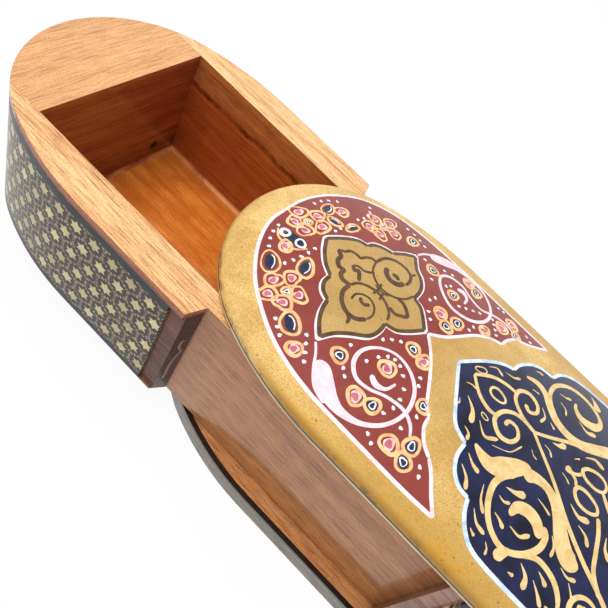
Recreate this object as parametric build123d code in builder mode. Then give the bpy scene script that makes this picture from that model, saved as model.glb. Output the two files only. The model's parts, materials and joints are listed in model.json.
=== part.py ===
from build123d import *
import math
import os

os.makedirs("parts", exist_ok=True)

# A rounded wooden pen box: a case made of a slab, two side walls, an end block and a crowned
# cover, and a tray with a half-round nose that slides out of its open end.
# X runs along the box and the open end is at -X. Z is up. The origin is the middle of the
# case, on its underside. The tray stands as in the photograph, part way out.

# Driving sizes, in millimetres

case_length = 240.0  # over both rounded ends of the cover
end_length = 43.0  # from an end's tip back to where the sides run straight
tip_ease = 2.6  # how much smaller the tip's arc is than half the width
compartment_width = 46.0
tray_wall = 4.0
case_wall = 3.5
veneer = 0.8  # marquetry sheets and the strips that border them
side_clearance = 0.3  # between the tray and each case wall
under_clearance = 0.4  # between the tray and the slab
top_clearance = 0.5  # between the tray's rim and the cover

tray_height = 34.6
floor_thickness = 3.0
nose_wall = 20.4  # wood between the nose's tip and the compartment
nose_length = 73.2  # from the nose's tip to its shoulder
nose_recess = 4.7  # how far the closed nose stays behind the cover's tip
shoulder_bevel = 1.6  # the shoulder's outer corner leans forward by this
bare_strip = 3.5  # plain wood between the marquetry and the shoulder, and at the case's mouth
lip_height = 2.0  # the nose's rim, which covers the top of its border
nose_bevel_height = 2.6  # wide bevel round the nose's lower edge
nose_bevel_width = 4.3
seat_gap = 0.3  # between the closed tray and what it comes up to, at both ends
pulled_out = 65.2  # how far the tray is out in the photograph

base_thickness = 5.2
band_foot = 0.4  # the slab's edge band stops short of the table by this
base_line_width = 1.2  # black line let into the slab's upper edge
base_line_depth = 0.8

cover_thickness = 8.0  # along the middle
crown_margin = 0.5  # flat left between the crown and the centre of the tip's arc
crown_drop = 5.4  # how far the crown falls from the middle to the rim
edge_line_width = 1.2  # the two thin lines let into the cover's lower edge
edge_line_depth = 0.5
edge_upright = 0.2  # plain edge between those lines and the round above them

end_block = 30.0  # solid wood that closes the far end
border_top = 2.0
border_bottom = 1.6

# Sizes that follow

compartment_half = compartment_width / 2
tray_half = compartment_half + tray_wall
cavity_half = tray_half + side_clearance
half_width = cavity_half + case_wall + veneer
tip_radius = half_width - tip_ease
side_radius = end_length + (end_length - half_width) ** 2 / (2 * tip_ease)
side_offset = side_radius - half_width
joint_angle = math.degrees(math.atan2(side_offset, tip_radius - end_length))

slab_top = base_thickness
tray_bottom = slab_top + under_clearance
rim = tray_bottom + tray_height
cover_bottom = rim + top_clearance
foot_top = tray_bottom + nose_bevel_height
lip_bottom = rim - lip_height
core_height = rim - foot_top
wall_height = cover_bottom - slab_top

open_tip = -case_length / 2
closed_tip = case_length / 2
straight_end = closed_tip - end_length
mouth = open_tip + nose_recess + nose_length + seat_gap
cavity_end = closed_tip - end_block

nose_tip = open_tip + nose_recess - pulled_out
shoulder = nose_tip + nose_length
compartment_front = nose_tip + nose_wall
tray_rear = cavity_end - seat_gap - pulled_out
bevel_slope = shoulder_bevel / (half_width - tray_half)
beyond = 2 * half_width  # cutting outlines reach this far, past all the wood


def draw_outline(tip, inset):
    """Closed outline with a three-centred arch at each end, as a face in this sketch."""
    left_side = tip + end_length
    left_arch = tip + tip_radius
    right_side = tip + case_length - end_length
    right_arch = tip + case_length - tip_radius
    half = half_width - inset
    arc_radius = side_radius - inset
    arc_size = joint_angle - 90
    tip_size = 2 * (180 - joint_angle)
    with BuildLine() as outline:
        Line((left_side, -half), (right_side, -half))
        CenterArc((right_side, side_offset), arc_radius, 270, arc_size)
        CenterArc((right_arch, 0), tip_radius - inset, joint_angle - 180, tip_size)
        CenterArc((right_side, -side_offset), arc_radius, 180 - joint_angle, arc_size)
        Line((right_side, half), (left_side, half))
        CenterArc((left_side, -side_offset), arc_radius, 90, arc_size)
        CenterArc((left_arch, 0), tip_radius - inset, joint_angle, tip_size)
        CenterArc((left_side, side_offset), arc_radius, 360 - joint_angle, arc_size)
    make_face(outline.edges())


def keep_inside(corners):
    """Keep only what lies inside these corners of this sketch."""
    with BuildLine() as region:
        Polyline(*corners, close=True)
    make_face(region.edges(), mode=Mode.INTERSECT)


def ring(tip, bottom, height, width, corners=None):
    """Band of this width just inside the outline, within the corners, as a solid."""
    with BuildSketch(Plane.XY.offset(bottom)) as inside:
        draw_outline(tip, width)
    with BuildSketch(Plane.XY.offset(bottom)) as band:
        draw_outline(tip, 0)
        add(inside.sketch, mode=Mode.SUBTRACT)
        if corners:
            keep_inside(corners)
    extrude(band.sketch, amount=height)


def slab(tip, bottom, height, inset, corners=None):
    """Solid of this height with the outline's shape, within the corners."""
    with BuildSketch(Plane.XY.offset(bottom)) as face:
        draw_outline(tip, inset)
        if corners:
            keep_inside(corners)
    extrude(face.sketch, amount=height)


def foot(corners):
    """The nose's bevelled lower edge, within the corners."""
    with BuildSketch(Plane.XY.offset(tray_bottom)) as lower:
        draw_outline(nose_tip, nose_bevel_width)
    with BuildSketch(Plane.XY.offset(foot_top)) as upper:
        draw_outline(nose_tip, 0)
    loft([lower.sketch.face(), upper.sketch.face()], ruled=True)
    with BuildSketch(Plane.XY.offset(tray_bottom)) as kept:
        with BuildLine() as region:
            Polyline(*corners, close=True)
        make_face(region.edges())
    extrude(kept.sketch, amount=nose_bevel_height, mode=Mode.INTERSECT)


def bar(x_range, y_range, bottom, height):
    """Straight board between two X and two Y values."""
    with BuildSketch(Plane.XY.offset(bottom)) as face:
        with Locations((x_range[0], y_range[0])):
            Rectangle(
                x_range[1] - x_range[0], y_range[1] - y_range[0], align=(Align.MIN, Align.MIN)
            )
    extrude(face.sketch, amount=height)


def save(builder, name):
    """Label a finished piece and write it."""
    builder.part.label = name
    export_step(builder.part, f"parts/{name}.step")


def leaning(face_x, face_y, y):
    """X where the bevel through (face_x, face_y) meets this Y."""
    return face_x - bevel_slope * (y - face_y)


# Regions that cut the outline into pieces, seen from above

nose_start = nose_tip - beyond
case_end = closed_tip + beyond
nose_side_region = (
    (nose_start, -beyond),
    (leaning(shoulder, tray_half, beyond), -beyond),
    (shoulder, -tray_half),
    (shoulder, -compartment_half),
    (nose_start, -compartment_half),
)
nose_block_region = (
    (nose_start, -compartment_half),
    (compartment_front, -compartment_half),
    (compartment_front, compartment_half),
    (nose_start, compartment_half),
)
marquetry_end = shoulder - shoulder_bevel - bare_strip
nose_sheet_region = (
    (nose_start, -beyond),
    (marquetry_end, -beyond),
    (marquetry_end, beyond),
    (nose_start, beyond),
)
wall_region = (
    (leaning(mouth, cavity_half, beyond), -beyond),
    (straight_end, -beyond),
    (straight_end, -cavity_half),
    (mouth, -cavity_half),
)
marquetry_start = leaning(mouth, cavity_half, half_width) + bare_strip
side_sheet_region = (
    (marquetry_start, -beyond),
    (straight_end, -beyond),
    (straight_end, -cavity_half),
    (marquetry_start, -cavity_half),
)
end_region = (
    (straight_end, -beyond),
    (case_end, -beyond),
    (case_end, beyond),
    (straight_end, beyond),
)
border_region = (
    (marquetry_start, -beyond),
    (case_end, -beyond),
    (case_end, beyond),
    (marquetry_start, beyond),
)

# Cover: a blank cut back by the crown's section, swept round the rim

cover_top = cover_bottom + cover_thickness
crown_reach = tip_radius - crown_margin
crown_edge = cover_top - crown_drop
crown_radius = (crown_reach**2 + crown_drop**2) / (2 * crown_drop)
crown_slope = math.degrees(math.asin(crown_reach / crown_radius))
edge_lines = 2 * edge_line_depth
rounded_height = crown_edge - cover_bottom - edge_lines - edge_upright
edge_round = rounded_height * math.tan(math.radians(45 + crown_slope / 2))

with BuildPart() as cover_board:
    slab(open_tip, cover_bottom, cover_thickness, 0)
    with BuildSketch(mode=Mode.PRIVATE) as rim_face:
        draw_outline(open_tip, 0)
    rim_path = rim_face.face().outer_wire()
    section = Plane(origin=rim_path @ 0, x_dir=(0, 1, 0), z_dir=rim_path % 0)
    with BuildSketch(section) as above_crown:
        with BuildLine() as crown_line:
            RadiusArc((0, crown_edge), (crown_reach, cover_top), crown_radius)
            Polyline(
                (crown_reach, cover_top),
                (crown_reach, cover_top + cover_thickness),
                (-cover_thickness, cover_top + cover_thickness),
                (-cover_thickness, crown_edge),
                (0, crown_edge),
            )
        make_face(crown_line.edges())
    sweep(above_crown.sketch, path=rim_path, mode=Mode.SUBTRACT)
    upper_rim = cover_board.edges().filter_by_position(
        Axis.Z, crown_edge - edge_line_depth / 4, crown_edge + edge_line_depth / 4
    )
    fillet(upper_rim, radius=edge_round)
    with BuildSketch(Plane.XY.offset(cover_bottom)) as inside_lines:
        draw_outline(open_tip, edge_line_width)
    with BuildSketch(Plane.XY.offset(cover_bottom)) as rebate:
        draw_outline(open_tip, 0)
        add(inside_lines.sketch, mode=Mode.SUBTRACT)
    extrude(rebate.sketch, amount=edge_lines, mode=Mode.SUBTRACT)
save(cover_board, "cover_board")

with BuildPart() as cover_edge_pale:
    ring(open_tip, cover_bottom, edge_line_depth, edge_line_width)
save(cover_edge_pale, "cover_edge_pale")

with BuildPart() as cover_edge_dark:
    ring(open_tip, cover_bottom + edge_line_depth, edge_line_depth, edge_line_width)
save(cover_edge_dark, "cover_edge_dark")

# Slab, with its edge band and the black line let into its upper edge

line_bottom = slab_top - base_line_depth

with BuildPart() as base_board:
    slab(open_tip, 0, line_bottom, veneer)
    slab(open_tip, line_bottom, base_line_depth, base_line_width)
save(base_board, "base_board")

with BuildPart() as base_edge_band:
    ring(open_tip, band_foot, line_bottom - band_foot, veneer)
save(base_edge_band, "base_edge_band")

with BuildPart() as base_edge_line:
    ring(open_tip, line_bottom, base_line_depth, base_line_width)
save(base_edge_line, "base_edge_line")

# Side walls, whose front ends are bevelled to meet the tray's shoulders, and the end block

with BuildPart() as case_wall_front:
    slab(open_tip, slab_top, wall_height, veneer, wall_region)
save(case_wall_front, "case_wall_front")

with BuildPart() as case_wall_back:
    add(case_wall_front.part.mirror(Plane.XZ))
save(case_wall_back, "case_wall_back")

with BuildPart() as case_end_block:
    slab(open_tip, slab_top, wall_height, veneer, end_region)
    with BuildSketch(Plane.XY.offset(slab_top)):
        with Locations((straight_end, 0)):
            Rectangle(
                cavity_end - straight_end, 2 * cavity_half, align=(Align.MIN, Align.CENTER)
            )
    extrude(amount=wall_height, mode=Mode.SUBTRACT)
save(case_end_block, "case_end_block")

# Marquetry sheets on the case, between a dark strip above and one below

sheet_bottom = slab_top + border_bottom
sheet_height = wall_height - border_bottom - border_top

with BuildPart() as case_marquetry_front:
    ring(open_tip, sheet_bottom, sheet_height, veneer, side_sheet_region)
save(case_marquetry_front, "case_marquetry_front")

with BuildPart() as case_marquetry_back:
    add(case_marquetry_front.part.mirror(Plane.XZ))
save(case_marquetry_back, "case_marquetry_back")

with BuildPart() as case_marquetry_end:
    ring(open_tip, sheet_bottom, sheet_height, veneer, end_region)
save(case_marquetry_end, "case_marquetry_end")

with BuildPart() as case_border_top:
    ring(open_tip, cover_bottom - border_top, border_top, veneer, border_region)
save(case_border_top, "case_border_top")

with BuildPart() as case_border_bottom:
    ring(open_tip, slab_top, border_bottom, veneer, border_region)
save(case_border_bottom, "case_border_bottom")

# Tray: a half-round block between two boards that are thick in the nose, where they follow
# the outline, and step in at the shoulder to thin straight walls

with BuildPart() as tray_side_front:
    foot(nose_side_region)
    slab(nose_tip, foot_top, core_height, veneer, nose_side_region)
    slab(nose_tip, lip_bottom, lip_height, 0, nose_side_region)
    bar(
        (shoulder - nose_wall, tray_rear),
        (-tray_half, -compartment_half),
        tray_bottom,
        tray_height,
    )
save(tray_side_front, "tray_side_front")

with BuildPart() as tray_side_back:
    add(tray_side_front.part.mirror(Plane.XZ))
save(tray_side_back, "tray_side_back")

with BuildPart() as tray_nose_block:
    foot(nose_block_region)
    slab(nose_tip, foot_top, core_height, veneer, nose_block_region)
    slab(nose_tip, lip_bottom, lip_height, 0, nose_block_region)
save(tray_nose_block, "tray_nose_block")

with BuildPart() as tray_floor:
    bar(
        (compartment_front, tray_rear),
        (-compartment_half, compartment_half),
        tray_bottom,
        floor_thickness,
    )
save(tray_floor, "tray_floor")

with BuildPart() as tray_rear_wall:
    bar(
        (tray_rear - tray_wall, tray_rear),
        (-compartment_half, compartment_half),
        tray_bottom + floor_thickness,
        tray_height - floor_thickness,
    )
save(tray_rear_wall, "tray_rear_wall")

# Marquetry sheet bent round the nose, with its dark strips

nose_sheet_bottom = foot_top + border_bottom
nose_sheet_top = lip_bottom - border_top

with BuildPart() as nose_marquetry:
    ring(
        nose_tip, nose_sheet_bottom, nose_sheet_top - nose_sheet_bottom, veneer, nose_sheet_region
    )
save(nose_marquetry, "nose_marquetry")

with BuildPart() as nose_border_top:
    ring(nose_tip, nose_sheet_top, border_top, veneer, nose_sheet_region)
save(nose_border_top, "nose_border_top")

with BuildPart() as nose_border_bottom:
    ring(nose_tip, foot_top, border_bottom, veneer, nose_sheet_region)
save(nose_border_bottom, "nose_border_bottom")
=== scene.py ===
"""Pen box with a sliding tray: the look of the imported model.

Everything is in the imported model's own frame. Lengths are in millimetres until a mesh is made.
"""

import json
import math

import bpy
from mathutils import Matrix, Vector, geometry

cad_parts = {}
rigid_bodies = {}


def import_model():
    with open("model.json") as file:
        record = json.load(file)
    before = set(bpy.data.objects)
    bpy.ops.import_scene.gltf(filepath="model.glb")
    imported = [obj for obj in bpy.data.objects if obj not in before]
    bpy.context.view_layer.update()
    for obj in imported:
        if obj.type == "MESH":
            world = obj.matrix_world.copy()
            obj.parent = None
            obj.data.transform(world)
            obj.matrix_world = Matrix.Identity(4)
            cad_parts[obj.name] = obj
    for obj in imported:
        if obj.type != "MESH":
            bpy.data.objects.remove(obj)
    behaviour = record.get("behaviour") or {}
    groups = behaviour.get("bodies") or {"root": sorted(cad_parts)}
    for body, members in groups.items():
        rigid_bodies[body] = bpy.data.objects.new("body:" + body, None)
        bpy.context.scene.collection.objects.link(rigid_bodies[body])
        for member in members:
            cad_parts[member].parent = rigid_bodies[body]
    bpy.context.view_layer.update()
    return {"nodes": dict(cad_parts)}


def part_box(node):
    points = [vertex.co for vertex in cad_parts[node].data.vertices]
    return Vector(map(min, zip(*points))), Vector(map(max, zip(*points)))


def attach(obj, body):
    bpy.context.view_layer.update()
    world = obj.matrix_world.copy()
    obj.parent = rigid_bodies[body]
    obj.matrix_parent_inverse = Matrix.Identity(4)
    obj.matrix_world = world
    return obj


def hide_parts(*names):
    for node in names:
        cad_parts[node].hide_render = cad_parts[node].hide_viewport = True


for startup_object in list(bpy.data.objects):
    bpy.data.objects.remove(startup_object)

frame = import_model()
nodes = frame["nodes"]

MM = 0.001
TINY = 1e-6

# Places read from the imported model


def box_mm(node):
    """Lowest and highest corner of a node, in millimetres."""
    low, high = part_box(node)
    return low / MM, high / MM


COVER_LOW, COVER_HIGH = box_mm("cover_board")
LINE_TOP = box_mm("cover_edge_dark")[1].z
NOSE_LOW, NOSE_HIGH = box_mm("nose_marquetry")
SHEET_LOW, SHEET_HIGH = box_mm("case_marquetry_front")
RIM = box_mm("tray_nose_block")[1].z

# Driving sizes of the rounded outline and of the crown, the same as the solids have

END_LENGTH = 43.0
TIP_EASE = 2.6
VENEER = 0.8
CROWN_MARGIN = 0.5
CROWN_DROP = 5.4
EDGE_LINE_WIDTH = 1.2
EDGE_UPRIGHT = 0.2
PAINT_ROOM = 0.14  # the gilt ground is this much under the crown, to make room for the paint

HALF_WIDTH = COVER_HIGH.y
OPEN_TIP = COVER_LOW.x
CLOSED_TIP = COVER_HIGH.x
TIP_RADIUS = HALF_WIDTH - TIP_EASE
SIDE_RADIUS = END_LENGTH + (END_LENGTH - HALF_WIDTH) ** 2 / (2 * TIP_EASE)
SIDE_OFFSET = SIDE_RADIUS - HALF_WIDTH
TIP_HALF_ARC = math.pi - math.atan2(SIDE_OFFSET, TIP_RADIUS - END_LENGTH)
SIDE_ARC = math.pi / 2 - TIP_HALF_ARC
TIP_REACH = TIP_RADIUS * TIP_HALF_ARC
SIDE_REACH = TIP_REACH + SIDE_RADIUS * SIDE_ARC

SHOULDER_REACH = 5.1  # the shoulder is this far behind the nose's marquetry
SHOULDER_BEVEL = 1.6  # and leans forward by this from the tray's flank to the outline
TRAY_HALF = 27.0

CROWN_REACH = TIP_RADIUS - CROWN_MARGIN
CROWN_RADIUS = (CROWN_REACH**2 + CROWN_DROP**2) / (2 * CROWN_DROP)
CROWN_SLOPE = math.asin(CROWN_REACH / CROWN_RADIUS)
CROWN_EDGE = COVER_HIGH.z - CROWN_DROP
ROUND_FOOT = LINE_TOP + EDGE_UPRIGHT
EDGE_ROUND = (CROWN_EDGE - ROUND_FOOT) * math.tan(math.pi / 4 + CROWN_SLOPE / 2)
ROUND_END = EDGE_ROUND * (1 - math.sin(CROWN_SLOPE))


def rim_point(tip, along, inset):
    """Point at this inset, this far round the outline from its tip. Negative is the far side."""
    reach = abs(along)
    if reach < TIP_REACH:
        turn = reach / TIP_RADIUS
        x = tip + TIP_RADIUS - (TIP_RADIUS - inset) * math.cos(turn)
        y = (TIP_RADIUS - inset) * math.sin(turn)
    elif reach < SIDE_REACH:
        turn = TIP_HALF_ARC + (reach - TIP_REACH) / SIDE_RADIUS
        x = tip + END_LENGTH - (SIDE_RADIUS - inset) * math.cos(turn)
        y = (SIDE_RADIUS - inset) * math.sin(turn) - SIDE_OFFSET
    else:
        x = tip + END_LENGTH + reach - SIDE_REACH
        y = HALF_WIDTH - inset
    return x, -math.copysign(y, along)


def rim_inset(x, y):
    """How far inside the case's outline a point lies."""
    straight = CLOSED_TIP - END_LENGTH
    arch = CLOSED_TIP - TIP_RADIUS
    ax, ay = abs(x), abs(y)
    if ax <= straight:
        return HALF_WIDTH - ay
    if (arch - straight) * ay - SIDE_OFFSET * (ax - arch) > 0:
        return SIDE_RADIUS - math.hypot(ax - straight, ay + SIDE_OFFSET)
    return TIP_RADIUS - math.hypot(ax - arch, ay)


def crown_height(inset):
    """Height of the gilt ground at this inset from the outline."""
    if inset < ROUND_END:
        rise = math.sqrt(max(EDGE_ROUND**2 - (EDGE_ROUND - max(inset, 0)) ** 2, 0))
        height = ROUND_FOOT + rise
    else:
        fall = max(CROWN_REACH - inset, 0)
        height = COVER_HIGH.z - CROWN_RADIUS + math.sqrt(CROWN_RADIUS**2 - fall**2)
    return height - PAINT_ROOM * min(max(inset, 0) / EDGE_ROUND, 1)


def ground(x, y):
    """Height of the gilt ground at a point of the cover."""
    return crown_height(rim_inset(x, y))


# Colours and node trees


def srgb(red, green, blue):
    """A colour written as it looks, made linear."""
    linear = []
    for part in (red, green, blue):
        c = part / 255
        linear.append(c / 12.92 if c <= 0.04045 else ((c + 0.055) / 1.055) ** 2.4)
    return (*linear, 1.0)


class Nodes:
    """A node tree, with short ways to add to it."""

    def __init__(self, tree):
        self.tree = tree

    def node(self, kind, values=(), **settings):
        """Add a node. Values are (input, constant or socket) pairs."""
        made = self.tree.nodes.new("ShaderNode" + kind)
        for key, setting in settings.items():
            setattr(made, key, setting)
        for key, value in values:
            if isinstance(value, bpy.types.NodeSocket):
                self.tree.links.new(value, made.inputs[key])
            else:
                made.inputs[key].default_value = value
        return made

    def math(self, operation, a, b=0.0, c=0.0):
        return self.node("Math", [(0, a), (1, b), (2, c)], operation=operation).outputs[0]

    def plus(self, a, b):
        return self.math("ADD", a, b)

    def minus(self, a, b):
        return self.math("SUBTRACT", a, b)

    def times(self, a, b):
        return self.math("MULTIPLY", a, b)

    def plus_times(self, a, b, c):
        """a times b, plus c."""
        return self.math("MULTIPLY_ADD", a, b, c)

    def size(self, a):
        return self.math("ABSOLUTE", a)

    def distance(self, a, b):
        """How long a line is that goes a one way and b the other."""
        return self.math("SQRT", self.plus(self.times(a, a), self.times(b, b)))

    def split(self, vector):
        return self.node("SeparateXYZ", [(0, vector)]).outputs

    def step(self, value, low, high, to_low=0.0, to_high=1.0):
        """Smooth step of a value between two edges."""
        names = ("Value", "From Min", "From Max", "To Min", "To Max")
        values = list(zip(names, (value, low, high, to_low, to_high)))
        return self.node("MapRange", values, interpolation_type="SMOOTHSTEP").outputs["Result"]

    def blend_shaders(self, share, first, second, output):
        """Link a mix of two shaders to the tree's output."""
        values = [(0, share), (1, first), (2, second)]
        made = self.node("MixShader", values).outputs[0]
        self.tree.links.new(made, self.tree.nodes[output].inputs[0])


class Paint(Nodes):
    """A material and its node tree."""

    def __init__(self, name, **sockets):
        self.material = bpy.data.materials.new(name)
        self.material.use_nodes = True
        super().__init__(self.material.node_tree)
        self.shader = self.tree.nodes["Principled BSDF"]
        for socket, value in sockets.items():
            self.shader.inputs[socket.replace("_", " ")].default_value = value

    def feed(self, socket, value):
        self.tree.links.new(value, self.shader.inputs[socket])

    def place(self, stretch=(1, 1, 1), shift=(0, 0, 0), uv=False):
        """Object or sheet coordinates in millimetres, times a stretch."""
        if uv:
            source = self.node("UVMap", uv_map=SHEET_UV).outputs["UV"]
        else:
            source = self.node("TexCoord").outputs["Object"]
        scale = [part / MM for part in stretch]
        values = [("Vector", source), ("Location", shift), ("Scale", scale)]
        return self.node("Mapping", values).outputs["Vector"]

    def noise(self, vector, scale=1.0, detail=3.0, rough=0.5, warp=0.0):
        names = ("Vector", "Scale", "Detail", "Roughness", "Distortion")
        values = list(zip(names, (vector, scale, detail, rough, warp)))
        return self.node("TexNoise", values).outputs["Fac"]

    def mix(self, share, a, b, blend="MIX"):
        """Mix of two colours. The numbers are the colour node's own inputs and output."""
        values = [(0, share), (6, a), (7, b)]
        return self.node("Mix", values, data_type="RGBA", blend_type=blend).outputs[2]

    def finish(self, tone, rough, height, relief, round_edge=0.0):
        """The material with its colour, roughness and relief, over edges that are worn round."""
        values = [("Height", height), ("Distance", relief * MM), ("Strength", 1.0)]
        if round_edge:
            worn = self.node("Bevel", [("Radius", round_edge * MM)], samples=4)
            values.append(("Normal", worn.outputs["Normal"]))
        self.feed("Base Color", tone)
        self.feed("Roughness", rough)
        self.feed("Normal", self.node("Bump", values).outputs["Normal"])
        return self.material


SHEET_UV = "sheet"
SHEET_STEP = 0.8  # between the rings of a bent sheet

LACQUER_LEVEL = 34.6  # the compartment's lacquer reaches about this high, less its edge's wave
LACQUER_WAVE = 4.2
FOOT_LIGHT_LEVEL = 9.6  # the nose gets painted light below this height, for the light the floor throws up under it
HOLE_RADII = (0.9, 1.6)  # of the pin hole's painted shade, and of its soft edge
SANDED_FROM, SANDED_TO = RIM - 2.1, RIM - 0.5  # the rim's outer lip, which is rubbed bare

HOLE_SHADE_TONE = srgb(20, 10, 6)
LACQUER_EDGE = srgb(72, 26, 10)
NOSE_STAIN_AND_SHADE = (srgb(122, 74, 52), srgb(92, 52, 36))
SHOULDER_STAIN_AND_SHADE = (srgb(78, 34, 18), srgb(46, 20, 12))
FOOT_LIGHT_TONE = srgb(150, 112, 96)
SANDED_TONES = (srgb(196, 122, 82), srgb(150, 86, 56))
THREAD_TINT = srgb(190, 160, 140)
GRIT_TINT = srgb(196, 166, 140)
PORE_TINT = srgb(138, 92, 64)


def wood(
    name, light, dark, grain="x", top=None, outside=None, inside=None, coat=0.3, gloss=0.4,
    seed=0.0, hole=None, pored=0.75, streaks=1.0, cloud=(0.04, 0.28), fine_grain=1.0,
):
    """Close-grained wood: slow figure, fine lines and short dark pores along the grain.

    top is the colour of worn upward faces at the rim, outside that of the tray's flanks, inside
    that of the dry wood above the dark lacquer in the compartment, hole the place of a pin hole
    that is painted as a dark spot of shade, pored how dark the pores are, streaks how strong the
    fine lines, cloud the patches' scale and share, and fine_grain how much closer than usual the
    grain is.
    """
    p = Paint(name, Coat_Weight=coat, Coat_Roughness=0.12, Coat_IOR=1.7, IOR=1.3)
    length, pore = [fine_grain] * 3, [11.0] * 3
    axis = "xyz".index(grain)
    length[axis] *= 0.05
    pore[axis] = 0.16
    figure_place = p.place(length, (seed, seed, seed))
    figure = p.noise(figure_place, 0.16, 3, 0.55, 1.2)
    lines = p.noise(figure_place, 1.9, 4, 0.65, 0.25)
    flecks = p.step(p.noise(p.place(pore, (seed, 0, seed)), 1.0, 1, 0.5), 0.56, 0.66)
    grit = p.noise(p.place((3, 4, 4)), 1.0, 2, 0.6)
    threads = p.step(lines, 0.52, 0.66)
    patches = p.noise(p.place((cloud[0],) * 3, (seed, 0, 0)), 1.0, 3, 0.5)
    fine = p.plus_times(lines, 0.4 * streaks, 0.2 * (1 - streaks))
    tones = p.step(p.plus_times(figure, 0.7, fine), 0.4, 0.72)
    tone = p.mix(tones, light, dark)
    tone = p.mix(p.step(patches, 0.35, 0.7, 0.0, cloud[1]), tone, dark)
    where = p.split(p.place())
    normal = p.split(p.node("TexCoord").outputs["Normal"])
    if inside:
        wave = p.times(p.noise(p.place((0.13, 0.13, 0)), 1.0, 5, 0.75), LACQUER_WAVE)
        level = p.plus(where["Z"], wave)
        dry = p.step(level, LACQUER_LEVEL - 0.2, LACQUER_LEVEL + 0.5)
        tone = p.mix(dry, tone, p.mix(tones, *inside))
        off = p.size(p.minus(level, LACQUER_LEVEL - 0.4))
        gaps = p.noise(p.place((0.2, 0.2, 0.2), (7, 0, 0)), 1.0, 3, 0.7)
        edge = p.times(p.step(off, 0.2, 1.2, 1.0, 0.0), p.step(gaps, 0.38, 0.6, 0.2, 0.8))
        tone = p.mix(edge, tone, LACQUER_EDGE)
    if hole:
        far = p.distance(p.minus(where["Y"], hole[0]), p.minus(where["Z"], hole[1]))
        # painted shade: the pin hole is not cut, a dark spot on the faces that look along the box
        # stands for it
        hole_shade = p.times(p.step(far, *HOLE_RADII, 0.98, 0.0), p.step(normal["X"], 0.6, 0.9))
        tone = p.mix(hole_shade, tone, HOLE_SHADE_TONE)
        p.feed("Coat Weight", p.plus_times(hole_shade, -coat, coat))
    if outside:
        off_middle = p.size(where["Y"])
        flank = p.step(off_middle, TRAY_HALF - 0.4, TRAY_HALF - 0.1)
        tone = p.mix(flank, tone, p.mix(tones, *outside))
        # beyond the flanks the wood is stained darker, and the same colour also paints in the
        # shadow under the rim's lip
        nose = p.step(off_middle, TRAY_HALF + 0.05, TRAY_HALF + 0.25)
        tone = p.mix(nose, tone, p.mix(tones, *NOSE_STAIN_AND_SHADE))
        # painted light: the nose's foot is made paler, for the light that the floor throws up into
        # the object's shadow
        foot_light = p.times(nose, p.step(where["Z"], FOOT_LIGHT_LEVEL - 1.5, FOOT_LIGHT_LEVEL, 1.0, 0.0))
        tone = p.mix(foot_light, tone, FOOT_LIGHT_TONE)
        # the shoulder's end face: dark stained wood, made darker still as a painted dark reflection
        # of the case's mouth
        end_face = p.times(nose, p.step(normal["X"], 0.5, 0.8))
        tone = p.mix(end_face, tone, p.mix(tones, *SHOULDER_STAIN_AND_SHADE))
        p.feed("Coat Weight", p.plus_times(nose, 0.12 - coat, coat))
    if top:
        outward = nose if outside else p.step(normal["X"], 0.2, 0.5, 1.0, 0.0)
        sanded = p.times(outward, p.step(where["Z"], SANDED_FROM, SANDED_TO))
        tone = p.mix(sanded, tone, p.mix(grit, *SANDED_TONES))
        up = p.step(normal["Z"], 0.6, 0.9)
        at_rim = p.step(where["Z"], RIM - 1.0, RIM - 0.4)
        tone = p.mix(p.times(up, at_rim), tone, p.mix(tones, *top))
    tone = p.mix(p.times(threads, 0.4 * streaks), tone, THREAD_TINT, "MULTIPLY")
    tone = p.mix(p.step(grit, 0.45, 0.7, 0.0, 0.5), tone, GRIT_TINT, "MULTIPLY")
    tone = p.mix(p.times(flecks, pored), tone, PORE_TINT, "MULTIPLY")
    rough = p.step(lines, 0.3, 0.8, gloss - 0.06, gloss + 0.1)
    height = p.minus(p.times(lines, 0.5), p.times(flecks, 0.6))
    return p.finish(tone, rough, height, 0.06, 0.25)


SHADED_ROLL_TO = 98.0  # the rolled edge gets painted shade and sheen this far from the box's middle
SHADED_ROLL_FADE = 14.0

GRAIN_TONE = srgb(160, 118, 50)
CROWN_SHADE_TONE = srgb(192, 152, 86)
MIDDLE_SHADE_TONE = srgb(190, 144, 58)
ROLL_SHEEN_OCHRE = srgb(206, 144, 18)
ROLL_SHADE_TONE = srgb(120, 88, 28)
ROLL_FOOT_SPOT_TONE = srgb(70, 52, 26)
SPECK_TONE = srgb(104, 74, 34)


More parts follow.
